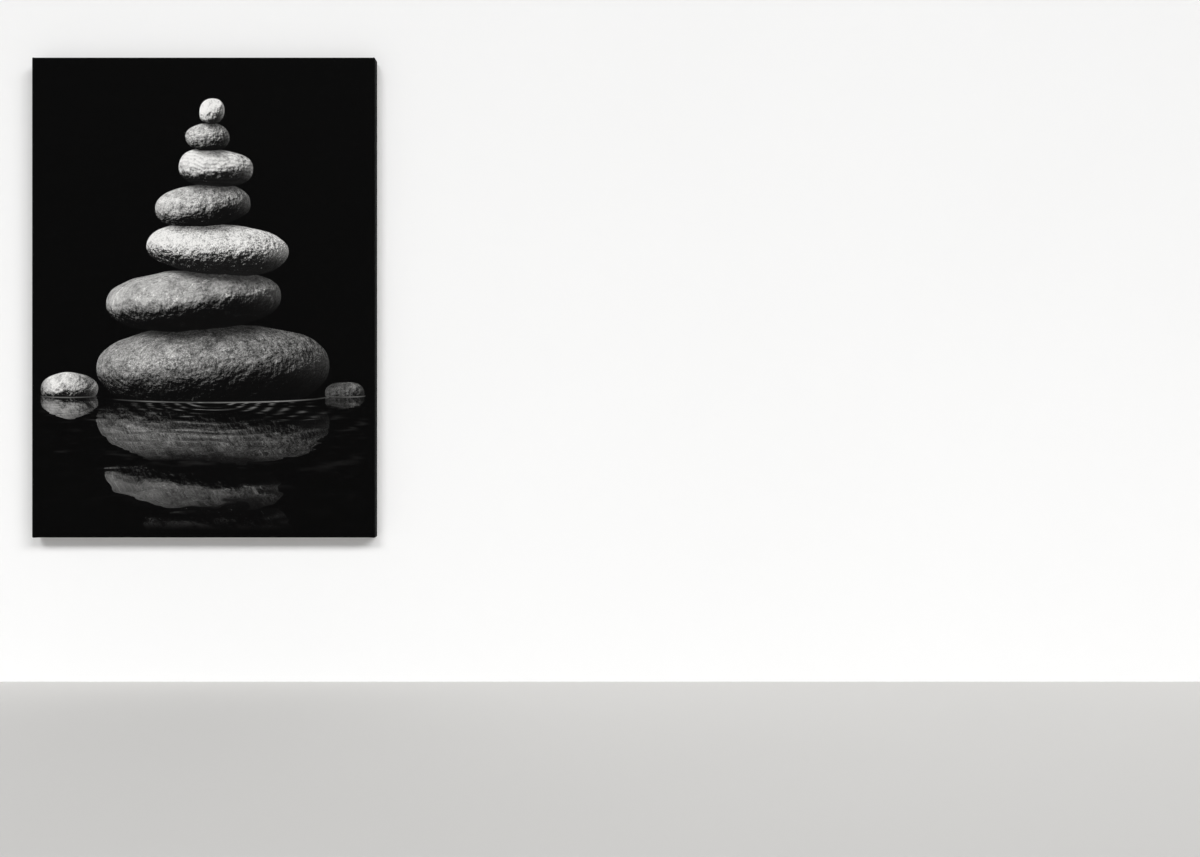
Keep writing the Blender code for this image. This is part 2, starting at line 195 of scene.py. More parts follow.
class Value:
    """A socket of a node tree. Python operators on it add the Math nodes of the sum."""

    __add__ = adds("ADD")
    __radd__ = adds_reflected("ADD")
    __sub__ = adds("SUBTRACT")
    __rsub__ = adds_reflected("SUBTRACT")
    __mul__ = adds("MULTIPLY")
    __rmul__ = adds_reflected("MULTIPLY")
    __truediv__ = adds("DIVIDE")
    __rtruediv__ = adds_reflected("DIVIDE")
    __pow__ = adds("POWER")
    __abs__ = adds("ABSOLUTE")
    __gt__ = adds("GREATER_THAN")
    __lt__ = adds("LESS_THAN")
    at_least = adds("MAXIMUM")
    at_most = adds("MINIMUM")
    sine = adds("SINE")
    root = adds("SQRT")
    fraction = adds("FRACT")

    def __init__(self, recipe, socket):
        self.recipe = recipe
        self.socket = socket

    def also(self, output):
        """Another output of the same node."""
        return Value(self.recipe, shown(self.socket.node.outputs, output))

    def math(self, operation, *values):
        return self.recipe.node("ShaderNodeMath", {"operation": operation}, dict(enumerate(values)))

    def decay(self, length):
        """Falls from 1 at 0, to 1/e at length."""
        return self.math("EXPONENT", self * (-1.0 / length))

    def log(self):
        return self.math("LOGARITHM", self, math.e)

    def rise(self, start, end):
        """Goes smoothly from 0 at start to 1 at end."""
        settings = {"interpolation_type": "SMOOTHSTEP"}
        sockets = {"Value": self, "From Min": start, "From Max": end}
        return self.recipe.node("ShaderNodeMapRange", settings, sockets)


def shown(sockets, key):
    """The socket in use that has this name or number."""
    in_use = [socket for socket in sockets if socket.enabled]
    if isinstance(key, str):
        return next(socket for socket in in_use if socket.name == key)
    return in_use[key]


class Recipe:
    """A finish or a form that is written as nodes."""

    def __init__(self, tree):
        self.tree = tree

    def plug(self, socket, value):
        if isinstance(value, Value):
            self.tree.links.new(value.socket, socket)
        else:
            socket.default_value = value

    def node(self, kind, settings=None, sockets=None, output=0):
        """Adds a node, first its settings and then its sockets, and gives back one of its outputs."""
        made = self.tree.nodes.new(kind)
        for name, setting in (settings or {}).items():
            setattr(made, name, setting)
        for key, value in (sockets or {}).items():
            self.plug(shown(made.inputs, key), value)
        return Value(self, shown(made.outputs, output)) if made.outputs else made

    def point(self):
        """The point that is being coloured, in the frame's own coordinates."""
        return self.node("ShaderNodeTexCoord", output="Object")

    def parts(self, vector):
        """The X, Y and Z of a vector."""
        x = self.node("ShaderNodeSeparateXYZ", None, {0: vector}, "X")
        return x, x.also("Y"), x.also("Z")

    def vector(self, x, y, z):
        return self.node("ShaderNodeCombineXYZ", None, {"X": x, "Y": y, "Z": z})

    def vectors(self, operation, *values):
        return self.node("ShaderNodeVectorMath", {"operation": operation}, dict(enumerate(values)))

    def scaled(self, vector, factor):
        return self.node("ShaderNodeVectorMath", {"operation": "SCALE"}, {"Vector": vector, "Scale": factor})

    def dot(self, first, second):
        settings = {"operation": "DOT_PRODUCT"}
        return self.node("ShaderNodeVectorMath", settings, {0: first, 1: second}, "Value")

    def blend(self, factor, first, second, kind="FLOAT"):
        """first where factor is 0 and second where it is 1."""
        return self.node("ShaderNodeMix", {"data_type": kind}, {"Factor": factor, "A": first, "B": second})

    def tint(self, factor, first, second):
        return self.blend(factor, first, second, "RGBA")

    def noise(self, point, scale, detail=2.0, roughness=0.5, output="Fac"):
        sockets = {"Vector": point, "Scale": scale, "Detail": detail, "Roughness": roughness}
        return self.node("ShaderNodeTexNoise", None, sockets, output)

    def streaks(self, x, y, z, detail=1.0, roughness=0.5):
        """Noise at a place that is already scaled, each way by its own factor."""
        return self.noise(self.vector(x, y, z), 1.0, detail, roughness)

    def bump(self, height, distance, strength):
        sockets = {"Height": height, "Distance": distance, "Strength": strength}
        return self.node("ShaderNodeBump", None, sockets)


class Finish(Recipe):
    """A material for one finish, with its Principled shader at hand."""

    def __init__(self, name):
        self.material = bpy.data.materials.new(name)
        self.material.use_nodes = True
        super().__init__(self.material.node_tree)
        self.tree.nodes.clear()
        self.shader = self.node("ShaderNodeBsdfPrincipled")
        self.node("ShaderNodeOutputMaterial", None, {"Surface": self.shader})

    def surface(self, **values):
        """Sets the shader's sockets; a word such as base_color stands for Base Color."""
        for word, value in values.items():
            name = word.replace("_", " ").title().replace("Ior", "IOR")
            self.plug(self.shader.socket.node.inputs[name], value)
        return self.material


def paint(red, green, blue):
    """A colour from its three screen numbers, 0 to 255."""
    def light(number):
        part = number / 255
        return part / 12.92 if part <= 0.04045 else ((part + 0.055) / 1.055) ** 2.4
    return (light(red), light(green), light(blue), 1.0)


def grey(amount):
    """The grey that reflects this share of the light."""
    return (amount, amount, amount, 1.0)


# Objects and meshes

def new_object(name, data, *materials):
    """An object in the scene that holds this mesh, lamp or camera."""
    for material in materials:
        data.materials.append(material)
    thing = bpy.data.objects.new(name, data)
    bpy.context.scene.collection.objects.link(thing)
    return thing


def plain_mesh(thing):
    """The object's mesh with its modifiers worked in. The object itself is removed."""
    depsgraph = bpy.context.evaluated_depsgraph_get()
    mesh = bpy.data.meshes.new_from_object(thing.evaluated_get(depsgraph))
    bpy.data.objects.remove(thing)
    return mesh


def mesh_from(shape, name):
    """A finished bmesh as a plain mesh."""
    mesh = bpy.data.meshes.new(name)
    shape.to_mesh(mesh)
    shape.free()
    return mesh


def middle_of(node):
    """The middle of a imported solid's box."""
    low, high = (Vector(corner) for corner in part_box(node))
    return (low + high) / 2


# Camera

def set_camera():
    camera = new_object("camera", bpy.data.cameras.new("camera"))
    camera.location = CAMERA_PLACE
    camera.rotation_euler = (math.radians(90), 0, 0)
    camera.data.lens = CAMERA_LENS
    camera.data.sensor_width = CAMERA_SENSOR
    camera.data.clip_start, camera.data.clip_end = CAMERA_CLIP
    bpy.context.scene.camera = camera


# Wall, floor and light

def stage_sheet(name, corners, material):
    """A flat stage surface with these corners."""
    mesh = bpy.data.meshes.new(name)
    mesh.from_pydata(corners, [], [(0, 1, 2, 3)])
    sheet = new_object(name, mesh, material)
    return sheet


def wall_paint():
    """Matt wall paint that is seen from the room's side only."""
    finish = Finish("wall_paint")
    point = finish.point()
    cloudy = finish.noise(point, 0.8, 2.0)
    roller = finish.noise(point, 420.0, 2.0)
    finish.surface(
        base_color=finish.tint(cloudy, grey(0.90), grey(0.93)),
        roughness=0.9,
        specular_ior_level=0.1,
        normal=finish.bump(roller, 0.0001, 0.4),
    )
    behind = finish.node("ShaderNodeNewGeometry", output="Backfacing")
    clear = finish.node("ShaderNodeBsdfTransparent")
    one_sided = finish.node("ShaderNodeMixShader", None, {0: behind, 1: finish.shader, 2: clear})
    finish.node("ShaderNodeOutputMaterial", {"is_active_output": True}, {"Surface": one_sided})
    return finish.material


def floor_paint():
    """Pale, almost even floor. Behind the wall it glows by as much as the wall's bounce adds in front."""
    finish = Finish("floor_paint")
    point = finish.point()
    y = finish.parts(point)[1]
    cloudy = finish.noise(point, 0.6, 3.0)
    bounce = (y > 0.0) * y.decay(FLOOR_BOUNCE_REACH) * FLOOR_BOUNCE
    finish.material.cycles.emission_sampling = "NONE"
    return finish.surface(
        base_color=finish.tint(cloudy, paint(204, 203, 201), paint(210, 209, 207)),
        roughness=0.75,
        specular_ior_level=0.2,
        emission_color=finish.tint(bounce, grey(0.0), grey(1.0)),
        emission_strength=1.0,
    )


def set_stage():
    far = STAGE_REACH
    upright = ((-far, FLOOR), (far, FLOOR), (far, WALL_TOP), (-far, WALL_TOP))
    level = ((-far, -far), (far, -far), (far, far), (-far, far))
    wall = stage_sheet("wall", [(x, WALL_PLANE, z) for x, z in upright], wall_paint())
    wall.visible_shadow = False
    stage_sheet("floor", [(x, y, FLOOR) for x, y in level], floor_paint())


def sun(name, turn, rise, softness, power):
    """A far soft light. turn goes round from the front, rise up from the horizon, in degrees."""
    lamp = bpy.data.lights.new(name, "SUN")
    lamp.angle = math.radians(softness)
    lamp.energy = power
    holder = new_object(name, lamp)
    holder.rotation_euler = (math.radians(90 - rise), 0, math.radians(turn))
    return holder


def set_light():
    scene = bpy.context.scene
    scene.view_settings.view_transform = "Standard"
    for number, turn in enumerate(KEY_TURNS, 1):
        rise = math.degrees(math.atan(KEY_DROP * math.cos(math.radians(turn))))
        sun(f"key_{number}", turn, rise, KEY_SOFTNESS, KEY_POWER)
    world = bpy.data.worlds.new("room")
    scene.world = world
    world.use_nodes = True
    room = Recipe(world.node_tree)
    room.tree.nodes.clear()
    seen = room.node("ShaderNodeLightPath", output="Is Camera Ray")
    strength = seen * (ROOM_LOOK - ROOM_LIGHT) + ROOM_LIGHT
    glow = room.node("ShaderNodeBackground", None, {"Color": grey(1.0), "Strength": strength})
    room.node("ShaderNodeOutputWorld", None, {"Surface": glow})


def set_back_light(things):
    """Soft light from behind that reaches the print alone, so that its back can be looked at."""
    lit = bpy.data.collections.new("lit_from_behind")
    for thing in things:
        lit.objects.link(thing)
    for number, (turn, rise) in enumerate(BACK_SUNS, 1):
        holder = sun(f"back_{number}", turn, rise, BACK_SOFTNESS, BACK_POWER)
        holder.light_linking.receiver_collection = lit


# Picture: balanced stones over still water, black and white

Stone = namedtuple("Stone", "across up half_width half_height tilt tone grain veins bands")
STONES = (
    Stone(-0.398, -0.270, 0.084, 0.047, -4, 0.62, 0.6, 0.0, 0.0),
    Stone(0.420, -0.281, 0.060, 0.032, 5, 0.26, 0.5, 0.0, 0.3),
    Stone(0.028, -0.208, 0.345, 0.128, 1, 0.13, 0.7, 0.30, 0.15),
    Stone(-0.030, -0.008, 0.262, 0.090, 3, 0.22, 0.3, 1.0, 0.0),
    Stone(0.042, 0.143, 0.208, 0.074, -4, 0.98, 1.0, 0.0, 0.0),
    Stone(-0.004, 0.272, 0.142, 0.064, 5, 0.34, 0.8, 0.4, 0.0),
    Stone(0.036, 0.384, 0.112, 0.055, -2, 1.05, 0.3, 0.0, 1.0),
    Stone(0.012, 0.476, 0.066, 0.044, 4, 0.34, 0.9, 0.2, 0.0),
    Stone(0.026, 0.552, 0.038, 0.036, 0, 1.30, 0.3, 0.1, 0.0),
)
STANDING = STONES[:3]
STACK = STONES[2]
STONE_POWER = 2.3
STONE_DEPTH = 0.8
STONE_WOBBLE = 0.030
STONE_APART = 3.7
CAST_ASIDE = 0.22
CAST_DOWN = 0.35
CAST_SPREAD = (0.35, 1.9)
CONTACT_SPREAD = (0.9, 2.0)
CAST_FLOOR = 0.06
MOTTLE_SCALE = 22.0
MOTTLE_GRAIN = (6.0, 0.62)
MOTTLE_STEP = 0.006
PIT_SCALE = 85.0
PIT_GRAIN = (4.0, 0.65)
PIT_STEP = 0.0022
FLECK_SCALE = 330.0
STRATA_SCALE = 520.0
STRATA_WANDER = 9.0
BAND_DEPTH = 0.5
VEIN_SCALE = (19.0, -15.0, 24.0)
VEIN_BEND = 0.03
VEIN_WANDER = 2.4
VEIN_BAND = (0.012, 0.075)
VEIN_TONE = 0.6
KEY_RAY = Vector((-0.58, 0.66, 0.48)).normalized()
KEY_GAIN = 2.9
KEY_HARDNESS = 1.6
RIM_RAY = Vector((0.90, 0.30, -0.05)).normalized()
RIM_GAIN = 0.26
RIM_HARDNESS = 2.5
SHEEN_RAY = (KEY_RAY + Vector((0, 0, 1))).normalized()
SHEEN_GAIN = 0.10
SHEEN_HARDNESS = 26.0
FILL = 0.006
FILM_SPEED = 0.85
FILM_GRAIN = 0.45
FILM_GRAIN_SCALE = 640.0
PAPER_WHITE = (1.0, 0.992, 0.975, 1.0)

# Water under the stones
WATER = -0.290
WATER_BOW = 0.058
WATER_NEAR = 0.012
MIRROR_STRETCH = 1.22
MIRROR_TONE = 0.37
MIRROR_REACH = 0.42
MIRROR_SHIMMER = 0.18
MIRROR_SWAY = (0.06, 0.10)
MIRROR_BREAK = 0.003
RING_COUNT = 46.0
RING_START = 0.10
RING_REACH = 0.45
RING_FLATNESS = 2.9
RING_DRIFT = 9.0
RING_SLOPE = 0.75
SWELL_COUNT = 15.0
SWELL_DRIFT = 30.0
SWELL_SLANT = 3.0
SWELL_SLOPE = 0.45
GLINT_TONE = 0.75
GLINT_REACH = 0.26
GLINT_HARDNESS = 4.0
SHORE_TONE = 0.22
SHORE_DEPTH = 0.0012
SHORE_BAND = (0.0026, 0.0008)
DIM_AT_SIDES = (0.008, 0.060)
DIM_AT_ENDS = (0.02, 0.13)


def grain_in_light(ink, point, scale, step, grain):
    """Noise at a point, and how much of it falls away towards the light."""
    here = ink.noise(point, scale, *grain)
    towards_light = ink.vectors("ADD", point, tuple(KEY_RAY * step))
    return here, here - ink.noise(towards_light, scale, *grain)


def stones(ink, across, up):
    """Tone of the stones at a point of the picture, from 0 for black to 1 for white."""
    spot = ink.vector(across, up, 0.0)
    wobble = ink.vectors("SUBTRACT", ink.noise(spot, 5.5, 2.0, output="Color"), (0.5, 0.5, 0.5))
    moved = ink.vectors("ADD", spot, ink.scaled(wobble, STONE_WOBBLE))
    aside, height = ink.parts(moved)[:2]

    local = (1.0, 1.0, 0.0)
    size = (1.0, 1.0, 1.0)
    look = (0.0, 0.0, 0.0)
    bands = 0.0
    cover = 0.0
    shade = 1.0
    for number, stone in enumerate(STONES):
        turn = math.radians(stone.tilt)
        right = aside - stone.across
        above = height - stone.up
        p = (right * math.cos(turn) + above * math.sin(turn)) / stone.half_width
        q = (above * math.cos(turn) - right * math.sin(turn)) / stone.half_height
        reach = abs(p) ** STONE_POWER + abs(q) ** STONE_POWER
        inside = reach < 1.0
        cast = (p - CAST_ASIDE) ** 2 + (q + CAST_DOWN) ** 2
        clear = reach.rise(*CONTACT_SPREAD) * cast.rise(*CAST_SPREAD)
        shade = ink.blend(inside, shade * (clear * (1 - CAST_FLOOR) + CAST_FLOOR), 1.0)
        local = ink.blend(inside, local, ink.vector(p, q, number * STONE_APART), "VECTOR")
        half_sizes = (stone.half_width, stone.half_height, stone.half_width * STONE_DEPTH)
        size = ink.blend(inside, size, half_sizes, "VECTOR")
        look = ink.blend(inside, look, (stone.tone, stone.grain, stone.veins), "VECTOR")
        bands = ink.blend(inside, bands, stone.bands)
        cover = inside.at_least(cover)

    p, q, seed = ink.parts(local)
    swell = (1.0 - abs(p) ** STONE_POWER - abs(q) ** STONE_POWER).at_least(0.0).root()
    ball = ink.vector(p, q, swell)
    normal = ink.vectors("NORMALIZE", ink.vectors("DIVIDE", ball, size))
    point = ink.vectors("ADD", ink.vectors("MULTIPLY", ball, size), ink.vector(seed, seed * 0.7, seed * 1.3))

    tone, grain, veins = ink.parts(look)
    mottle, broad = grain_in_light(ink, point, MOTTLE_SCALE, MOTTLE_STEP, MOTTLE_GRAIN)
    relief = grain_in_light(ink, point, PIT_SCALE, PIT_STEP, PIT_GRAIN)[1]
    flecks = ink.noise(point, FLECK_SCALE, 2.0, 0.6).rise(0.42, 0.62)
    bend = ink.scaled(ink.noise(point, 14.0, 3.0, output="Color"), VEIN_BEND)
    bent = ink.vectors("ADD", point, bend)
    seam = abs((ink.dot(bent, VEIN_SCALE) + mottle * VEIN_WANDER).sine())
    lines = (1.0 - seam.rise(*VEIN_BAND)) * mottle.rise(0.30, 0.62)
    layer = ink.parts(bent)[1]
    strata = (layer * STRATA_SCALE + mottle * STRATA_WANDER).sine() * 0.5 + 0.5

    albedo = tone * (mottle * 1.3 + 0.35)
    albedo = albedo * (1.0 + grain * (flecks * 1.1 - 0.55))
    albedo = albedo * (1.0 - bands * (BAND_DEPTH * strata))
    albedo = albedo + veins * lines * VEIN_TONE

    rough = relief * (grain * 2.8 + 0.5)
    key = (ink.dot(normal, tuple(KEY_RAY)) + rough + broad * 3.0).at_least(0.0)
    rim = (ink.dot(normal, tuple(RIM_RAY)) + relief * 1.5).at_least(0.0) ** RIM_HARDNESS
    sheen = (ink.dot(normal, tuple(SHEEN_RAY)) + relief * 0.8).at_least(0.0) ** SHEEN_HARDNESS
    light = key ** KEY_HARDNESS * shade * KEY_GAIN + rim * RIM_GAIN + FILL
    lit = albedo * light + sheen * shade * SHEEN_GAIN
    return (1.0 - lit.decay(FILM_SPEED)) * cover


def picture(ink, across, up):
    """Tone of the picture: the stones, their mirror image in the water, and the rings round them."""
    bow = 0.0
    for stone in STANDING:
        round_it = (1.0 - ((across - stone.across) / stone.half_width) ** 2).at_least(0.0).root()
        bow = round_it * (WATER_BOW * stone.half_width) + bow
    level = WATER - bow
    depth = (level - up).at_least(0.0)
    wet = depth > 0.0
    below = (WATER - up).at_least(0.0)
    far = (below + WATER_NEAR).log()
    ring_reach = ((across - STACK.across) ** 2 + (below * RING_FLATNESS) ** 2).root()
    drift = ink.noise(ink.vector(across * 2.0, far * 2.2, 3.0), 1.6, 3.0, 0.55) - 0.5
    rings = ((ring_reach + RING_START).log() * RING_COUNT + drift * RING_DRIFT).sine()
    rings = rings * ring_reach.decay(RING_REACH)
    swell = (far * SWELL_COUNT + drift * SWELL_DRIFT + across * SWELL_SLANT).sine()
    slope = rings * RING_SLOPE + swell * SWELL_SLOPE
    mirror_up = level + depth * MIRROR_STRETCH + slope * (depth * MIRROR_SWAY[1] + MIRROR_BREAK)
    mirror_across = across + slope * depth * MIRROR_SWAY[0]
    seen = stones(ink, ink.blend(wet, across, mirror_across), ink.blend(wet, up, mirror_up))
    dimmed = ink.blend(wet, 1.0, depth.decay(MIRROR_REACH) * (slope * MIRROR_SHIMMER + MIRROR_TONE))

    patch = ink.noise(ink.vector(across * 0.6, up * 2.0, 0.0), 7.0, 3.0).rise(0.32, 0.68)
    crest = ((slope + 0.2) * 0.75).at_least(0.0).at_most(1.0) ** GLINT_HARDNESS
    glint = crest * below.rise(0.0, 0.03) * ring_reach.decay(GLINT_REACH) * patch * GLINT_TONE * wet
    shore = abs(up - level + SHORE_DEPTH).rise(*SHORE_BAND) * (bow > 0.0) * patch * SHORE_TONE
    edge_x = (HALF_WIDTH - abs(across)).rise(*DIM_AT_SIDES)
    edge_z = (HALF_HEIGHT - abs(up)).rise(*DIM_AT_ENDS)
    tone = (seen * dimmed + glint + shore) * edge_x * edge_z
    film = ink.noise(ink.vector(across, up, 0.0), FILM_GRAIN_SCALE, 1.0) - 0.5
    return (tone * (1.0 + film * FILM_GRAIN)).at_least(0.0).at_most(1.0)


# Finishes

WEAVE_PITCH = 0.00056
WEAVE_ACROSS = 260.0
WEAVE_ALONG = 9.0
WEAVE_WANDER = 5.0
PRINT_EDGE_WANDER = 0.0006
PRINT_EDGE_BLUR = 0.0004
PITH_WANDER = 0.012
RING_ROUGHNESS = 0.0014
KNOT_PUSH = 0.006
YEAR_SPREAD = 2.2


def weave(finish, x, y, z):
    """Height of a plain weave over the face and the wrapped sides, from 0 to about 1, with uneven threads."""
    upright = finish.streaks(x * WEAVE_ACROSS, z * WEAVE_ALONG, y * WEAVE_ACROSS)
    level = finish.streaks(x * WEAVE_ALONG, z * WEAVE_ACROSS, y * WEAVE_ALONG)
    warp = ((x + y * 0.5) * (math.pi / WEAVE_PITCH) + upright * WEAVE_WANDER).sine()
    weft = ((z + y * 0.5) * (math.pi / WEAVE_PITCH) + level * WEAVE_WANDER).sine()
    crossing = warp * weft
    threads = (abs(warp) + crossing).at_least(abs(weft) - crossing)
    slubs = upright.rise(0.60, 0.78) + level.rise(0.62, 0.80)
    return threads * 0.35 + slubs * 0.30


def printed_finish():
    """Matt print on primed canvas, black round the wrapped sides, bare primer on the hem's rest."""
    finish = Finish("printed_canvas")
    point = finish.point()
    x, y, z = finish.parts(point)
    up = z - MIDDLE
    tone = picture(finish, x, up)
    height = weave(finish, x, y, z)
    inset = (HALF_WIDTH - abs(x)).at_most(HALF_HEIGHT - abs(up))
    ragged = finish.noise(point, 90.0, 2.0) * PRINT_EDGE_WANDER
    behind = y > HEM_BACK - WRAP_RADIUS / 2
    bare = behind * (inset + ragged).rise(PRINT_BLEED, PRINT_BLEED + PRINT_EDGE_BLUR)
    # The weave lightens the ink on its raised threads: partly ink lying differently on the thread tops,
    # partly painted sheen on them.
    strength = tone * (height * 0.08 + 0.87) + height * 0.0016 + 0.0004
    ink = finish.tint(strength, grey(0.0), PAPER_WHITE)
    dust = finish.noise(point, 60.0, 4.0, 0.7).rise(0.55, 0.85) * 0.0012
    ink = finish.tint(dust, ink, grey(1.0))
    primer = finish.tint(height, paint(214, 211, 203), paint(236, 233, 226))
    return finish.surface(
        base_color=finish.tint(bare, ink, primer),
        roughness=finish.blend(bare, tone * 0.06 + height * 0.05 + 0.66, 0.82),
        specular_ior_level=0.04,
        normal=finish.bump(height, 0.00016, 0.55),
    )


def raw_cloth_finish():
    """Unprimed back of the canvas: cream cotton, streaked by its threads, with a few flecks of seed."""
    finish = Finish("raw_canvas")
    point = finish.point()
    x, y, z = finish.parts(point)
    height = weave(finish, x, y, z)
    warp_streaks = finish.streaks(x * 520.0, z * 2.5, 0.0, 2.0, 0.6)
    weft_streaks = finish.streaks(x * 2.5, z * 520.0, 5.0, 2.0, 0.6)
    long_slubs = finish.streaks(x * 560.0, z * 18.0, 0.0).rise(0.62, 0.84)
    cross_slubs = finish.streaks(x * 18.0, z * 560.0, 5.0).rise(0.62, 0.84)
    slubs = long_slubs.at_least(cross_slubs)
    cloudy = finish.noise(point, 7.0, 4.0, 0.6)
    seeds = finish.noise(point, 420.0, 1.0).rise(0.76, 0.80)
    cloth = finish.tint(cloudy, paint(223, 215, 197), paint(235, 228, 212))
    cloth = finish.tint((warp_streaks + weft_streaks).rise(0.8, 1.3) * 0.28, cloth, paint(203, 192, 170))
    cloth = finish.tint(slubs * 0.4, cloth, paint(244, 239, 227))
    cloth = finish.tint(seeds * 0.6, cloth, paint(120, 100, 72))
    return finish.surface(
        base_color=finish.tint(height * 0.30, cloth, paint(196, 185, 163)),
        roughness=0.93,
        specular_ior_level=0.12,
        sheen_weight=0.15,
        normal=finish.bump(height + slubs * 0.7, 0.00022, 0.8),
    )


def pine_finish(board, pith, shift):
    """Planed pine. The growth rings run round the pith, so faces, edges and mitres all match."""
    finish = Finish(board.node + "_pine")
    point = finish.point()
    x, y, z = finish.parts(point)
    along, side = (z, x) if board.upright else (x, z)
    along = along + shift
    wander = finish.streaks(along * 2.2, shift, 0.0, 2.0) - 0.5
    right = side - pith[0] + wander * PITH_WANDER
    deep = y - pith[1] + wander * PITH_WANDER + along * board.taper
    knot_point = finish.vector(along * 3.1, side * 9.0, shift * 7.0)
    knot = finish.node("ShaderNodeTexVoronoi", None, {"Vector": knot_point, "Scale": 1.0}, "Distance")
    knot_core = 1.0 - knot.rise(0.035, 0.06)
    swirl = 1.0 - knot.rise(0.03, 0.24)
    rough_edge = finish.streaks(along * 5.0, side * 60.0, y * 60.0, 3.0)
    reach = (right ** 2 + deep ** 2).root() + rough_edge * RING_ROUGHNESS + swirl * KNOT_PUSH
    years = reach / board.ring + finish.streaks(reach * 90.0, shift, 0.0, 2.0) * YEAR_SPREAD
    season = years.fraction()
    late = season.rise(0.45, 0.93) * (1.0 - season.rise(0.94, 1.0))
    fibre = finish.streaks(along * 26.0, side * 1500.0, y * 1500.0, 3.0, 0.6)
    streak = finish.streaks(along * 1.4, side * 70.0, y * 70.0, 3.0, 0.55)
    wood = finish.tint(streak, paint(228, 206, 168), paint(240, 222, 188))
    wood = finish.tint(late * (streak * 0.6 + 0.30), wood, paint(203, 160, 113))
    wood = finish.tint(fibre.rise(0.50, 0.80) * 0.34, wood, paint(192, 158, 118))
    wood = finish.tint(swirl * 0.35, wood, paint(190, 140, 90))
    wood = finish.tint(knot_core, wood, paint(112, 68, 40))
    grime = finish.noise(point, 11.0, 4.0, 0.6).rise(0.55, 0.85) * 0.10
    wood = finish.tint(grime, wood, paint(140, 112, 82))
    return finish.surface(
        base_color=wood,
        roughness=fibre * 0.16 + late * -0.10 + 0.58,
        specular_ior_level=0.35,
        normal=finish.bump(fibre * 0.6 + late * 0.08, 0.00012, 0.6),
    )


def birch_finish(name, upright):
    """Pale birch for the keys: close grain, fine flecks."""
    finish = Finish(name)
    x, y, z = finish.parts(finish.point())
    along, side = (z, x) if upright else (x, z)
    fibre = finish.streaks(along * 60.0, side * 1300.0, y * 1300.0, 3.0, 0.6)
    flecks = finish.streaks(along * 240.0, side * 2100.0, y * 700.0).rise(0.62, 0.74)
    cloudy = finish.streaks(along * 12.0, side * 90.0, y * 90.0, 3.0)
    wood = finish.tint(cloudy, paint(214, 190, 152), paint(236, 217, 184))
    wood = finish.tint(fibre.rise(0.5, 0.8) * 0.35, wood, paint(190, 160, 118))
    return finish.surface(
        base_color=finish.tint(flecks * 0.35, wood, paint(164, 128, 88)),
        roughness=fibre * 0.15 + 0.55,
        specular_ior_level=0.35,
        normal=finish.bump(fibre, 0.0001, 0.5),
    )


def aluminium_finish():
    """Extruded aluminium: die lines along the rail, a few fine scratches, hazy marks of handling."""
    finish = Finish("aluminium")
    point = finish.point()
    x, y, z = finish.parts(point)
    lines = finish.streaks(x * 3.0, y * 5200.0, z * 5200.0, 3.0, 0.7)
    cloudy = finish.noise(point, 26.0, 4.0, 0.6)
    haze = finish.noise(point, 24.0, 4.0, 0.6).rise(0.40, 0.75)
    contour = finish.streaks(x * 9.0, y * 110.0, z * 110.0)
    worn = finish.noise(point, 38.0, 1.0).rise(0.56, 0.66)
    scratches = abs(contour - 0.5).rise(0.0050, 0.0020) * worn
    metal = finish.tint(cloudy, paint(200, 200, 199), paint(221, 221, 219))
    return finish.surface(
        base_color=finish.tint(scratches * 0.5, metal, paint(238, 238, 236)),
        metallic=1.0,
        roughness=lines * 0.20 + haze * 0.05 + scratches * 0.12 + 0.26,
        normal=finish.bump(lines + scratches * 0.5, 0.00004, 0.5),
    )


def zinc_finish():
    """Bright zinc plating on the screws, a little clouded."""
    finish = Finish("zinc")
    point = finish.point()
    cloudy = finish.noise(point, 420.0, 4.0, 0.65)
    blush = finish.noise(point, 150.0, 2.0)
    return finish.surface(
        base_color=finish.tint(blush, paint(198, 201, 206), paint(206, 200, 186)),
        metallic=1.0,
        roughness=cloudy * 0.25 + 0.20,
        normal=finish.bump(cloudy, 0.00003, 0.5),
    )


def staple_finish():
    """Galvanised staple wire."""
    finish = Finish("staple_steel")
    point = finish.point()
    cloudy = finish.noise(point, 700.0, 3.0, 0.6)
    batch = finish.noise(point, 23.0, 1.0)
    return finish.surface(
        base_color=finish.tint(batch, paint(170, 172, 174), paint(206, 206, 204)),
        metallic=1.0,
        roughness=cloudy * 0.2 + 0.30,
        normal=finish.bump(cloudy, 0.00003, 0.5),
    )


def thread_finish():
    """Loose cotton thread at the cut edge of the hem."""
    finish = Finish("loose_thread")
    point = finish.point()
    cloudy = finish.noise(point, 160.0, 2.0)
    return finish.surface(
        base_color=finish.tint(cloudy, paint(216, 208, 190), paint(240, 236, 224)),
        roughness=0.9,
        specular_ior_level=0.15,
        normal=finish.bump(finish.noise(point, 6000.0, 1.0), 0.00003, 0.5),
    )


def rubber_finish():
    """Moulded black rubber with a dusty bloom."""
    finish = Finish("rubber")
    point = finish.point()
    skin = finish.noise(point, 1500.0, 3.0, 0.6)
    bloom = finish.noise(point, 130.0, 4.0, 0.6).rise(0.45, 0.8)
    return finish.surface(
        base_color=finish.tint(bloom * 0.5, paint(30, 30, 31), paint(66, 65, 63)),
        roughness=bloom * 0.15 + skin * 0.12 + 0.55,
        specular_ior_level=0.4,
        normal=finish.bump(skin, 0.00005, 0.6),
    )


# Canvas

def side_points(half):
    """Places along one side of the face, close together at the corners where the cloth folds."""
    inner = half - CORNER_STEPS[-1]
    count = round(2 * inner / MESH_PITCH)
    middle = [-inner + 2 * inner * step / count for step in range(count + 1)]
    near_end = [half - step for step in reversed(CORNER_STEPS[:-1])]
    return [-half] + [-place for place in reversed(near_end)] + middle + near_end + [half]


def smooth(value, start, end):
    """Goes smoothly from 0 at start to 1 at end."""
    share = min(max((value - start) / (end - start), 0.0), 1.0)
    return share * share * (3 - 2 * share)


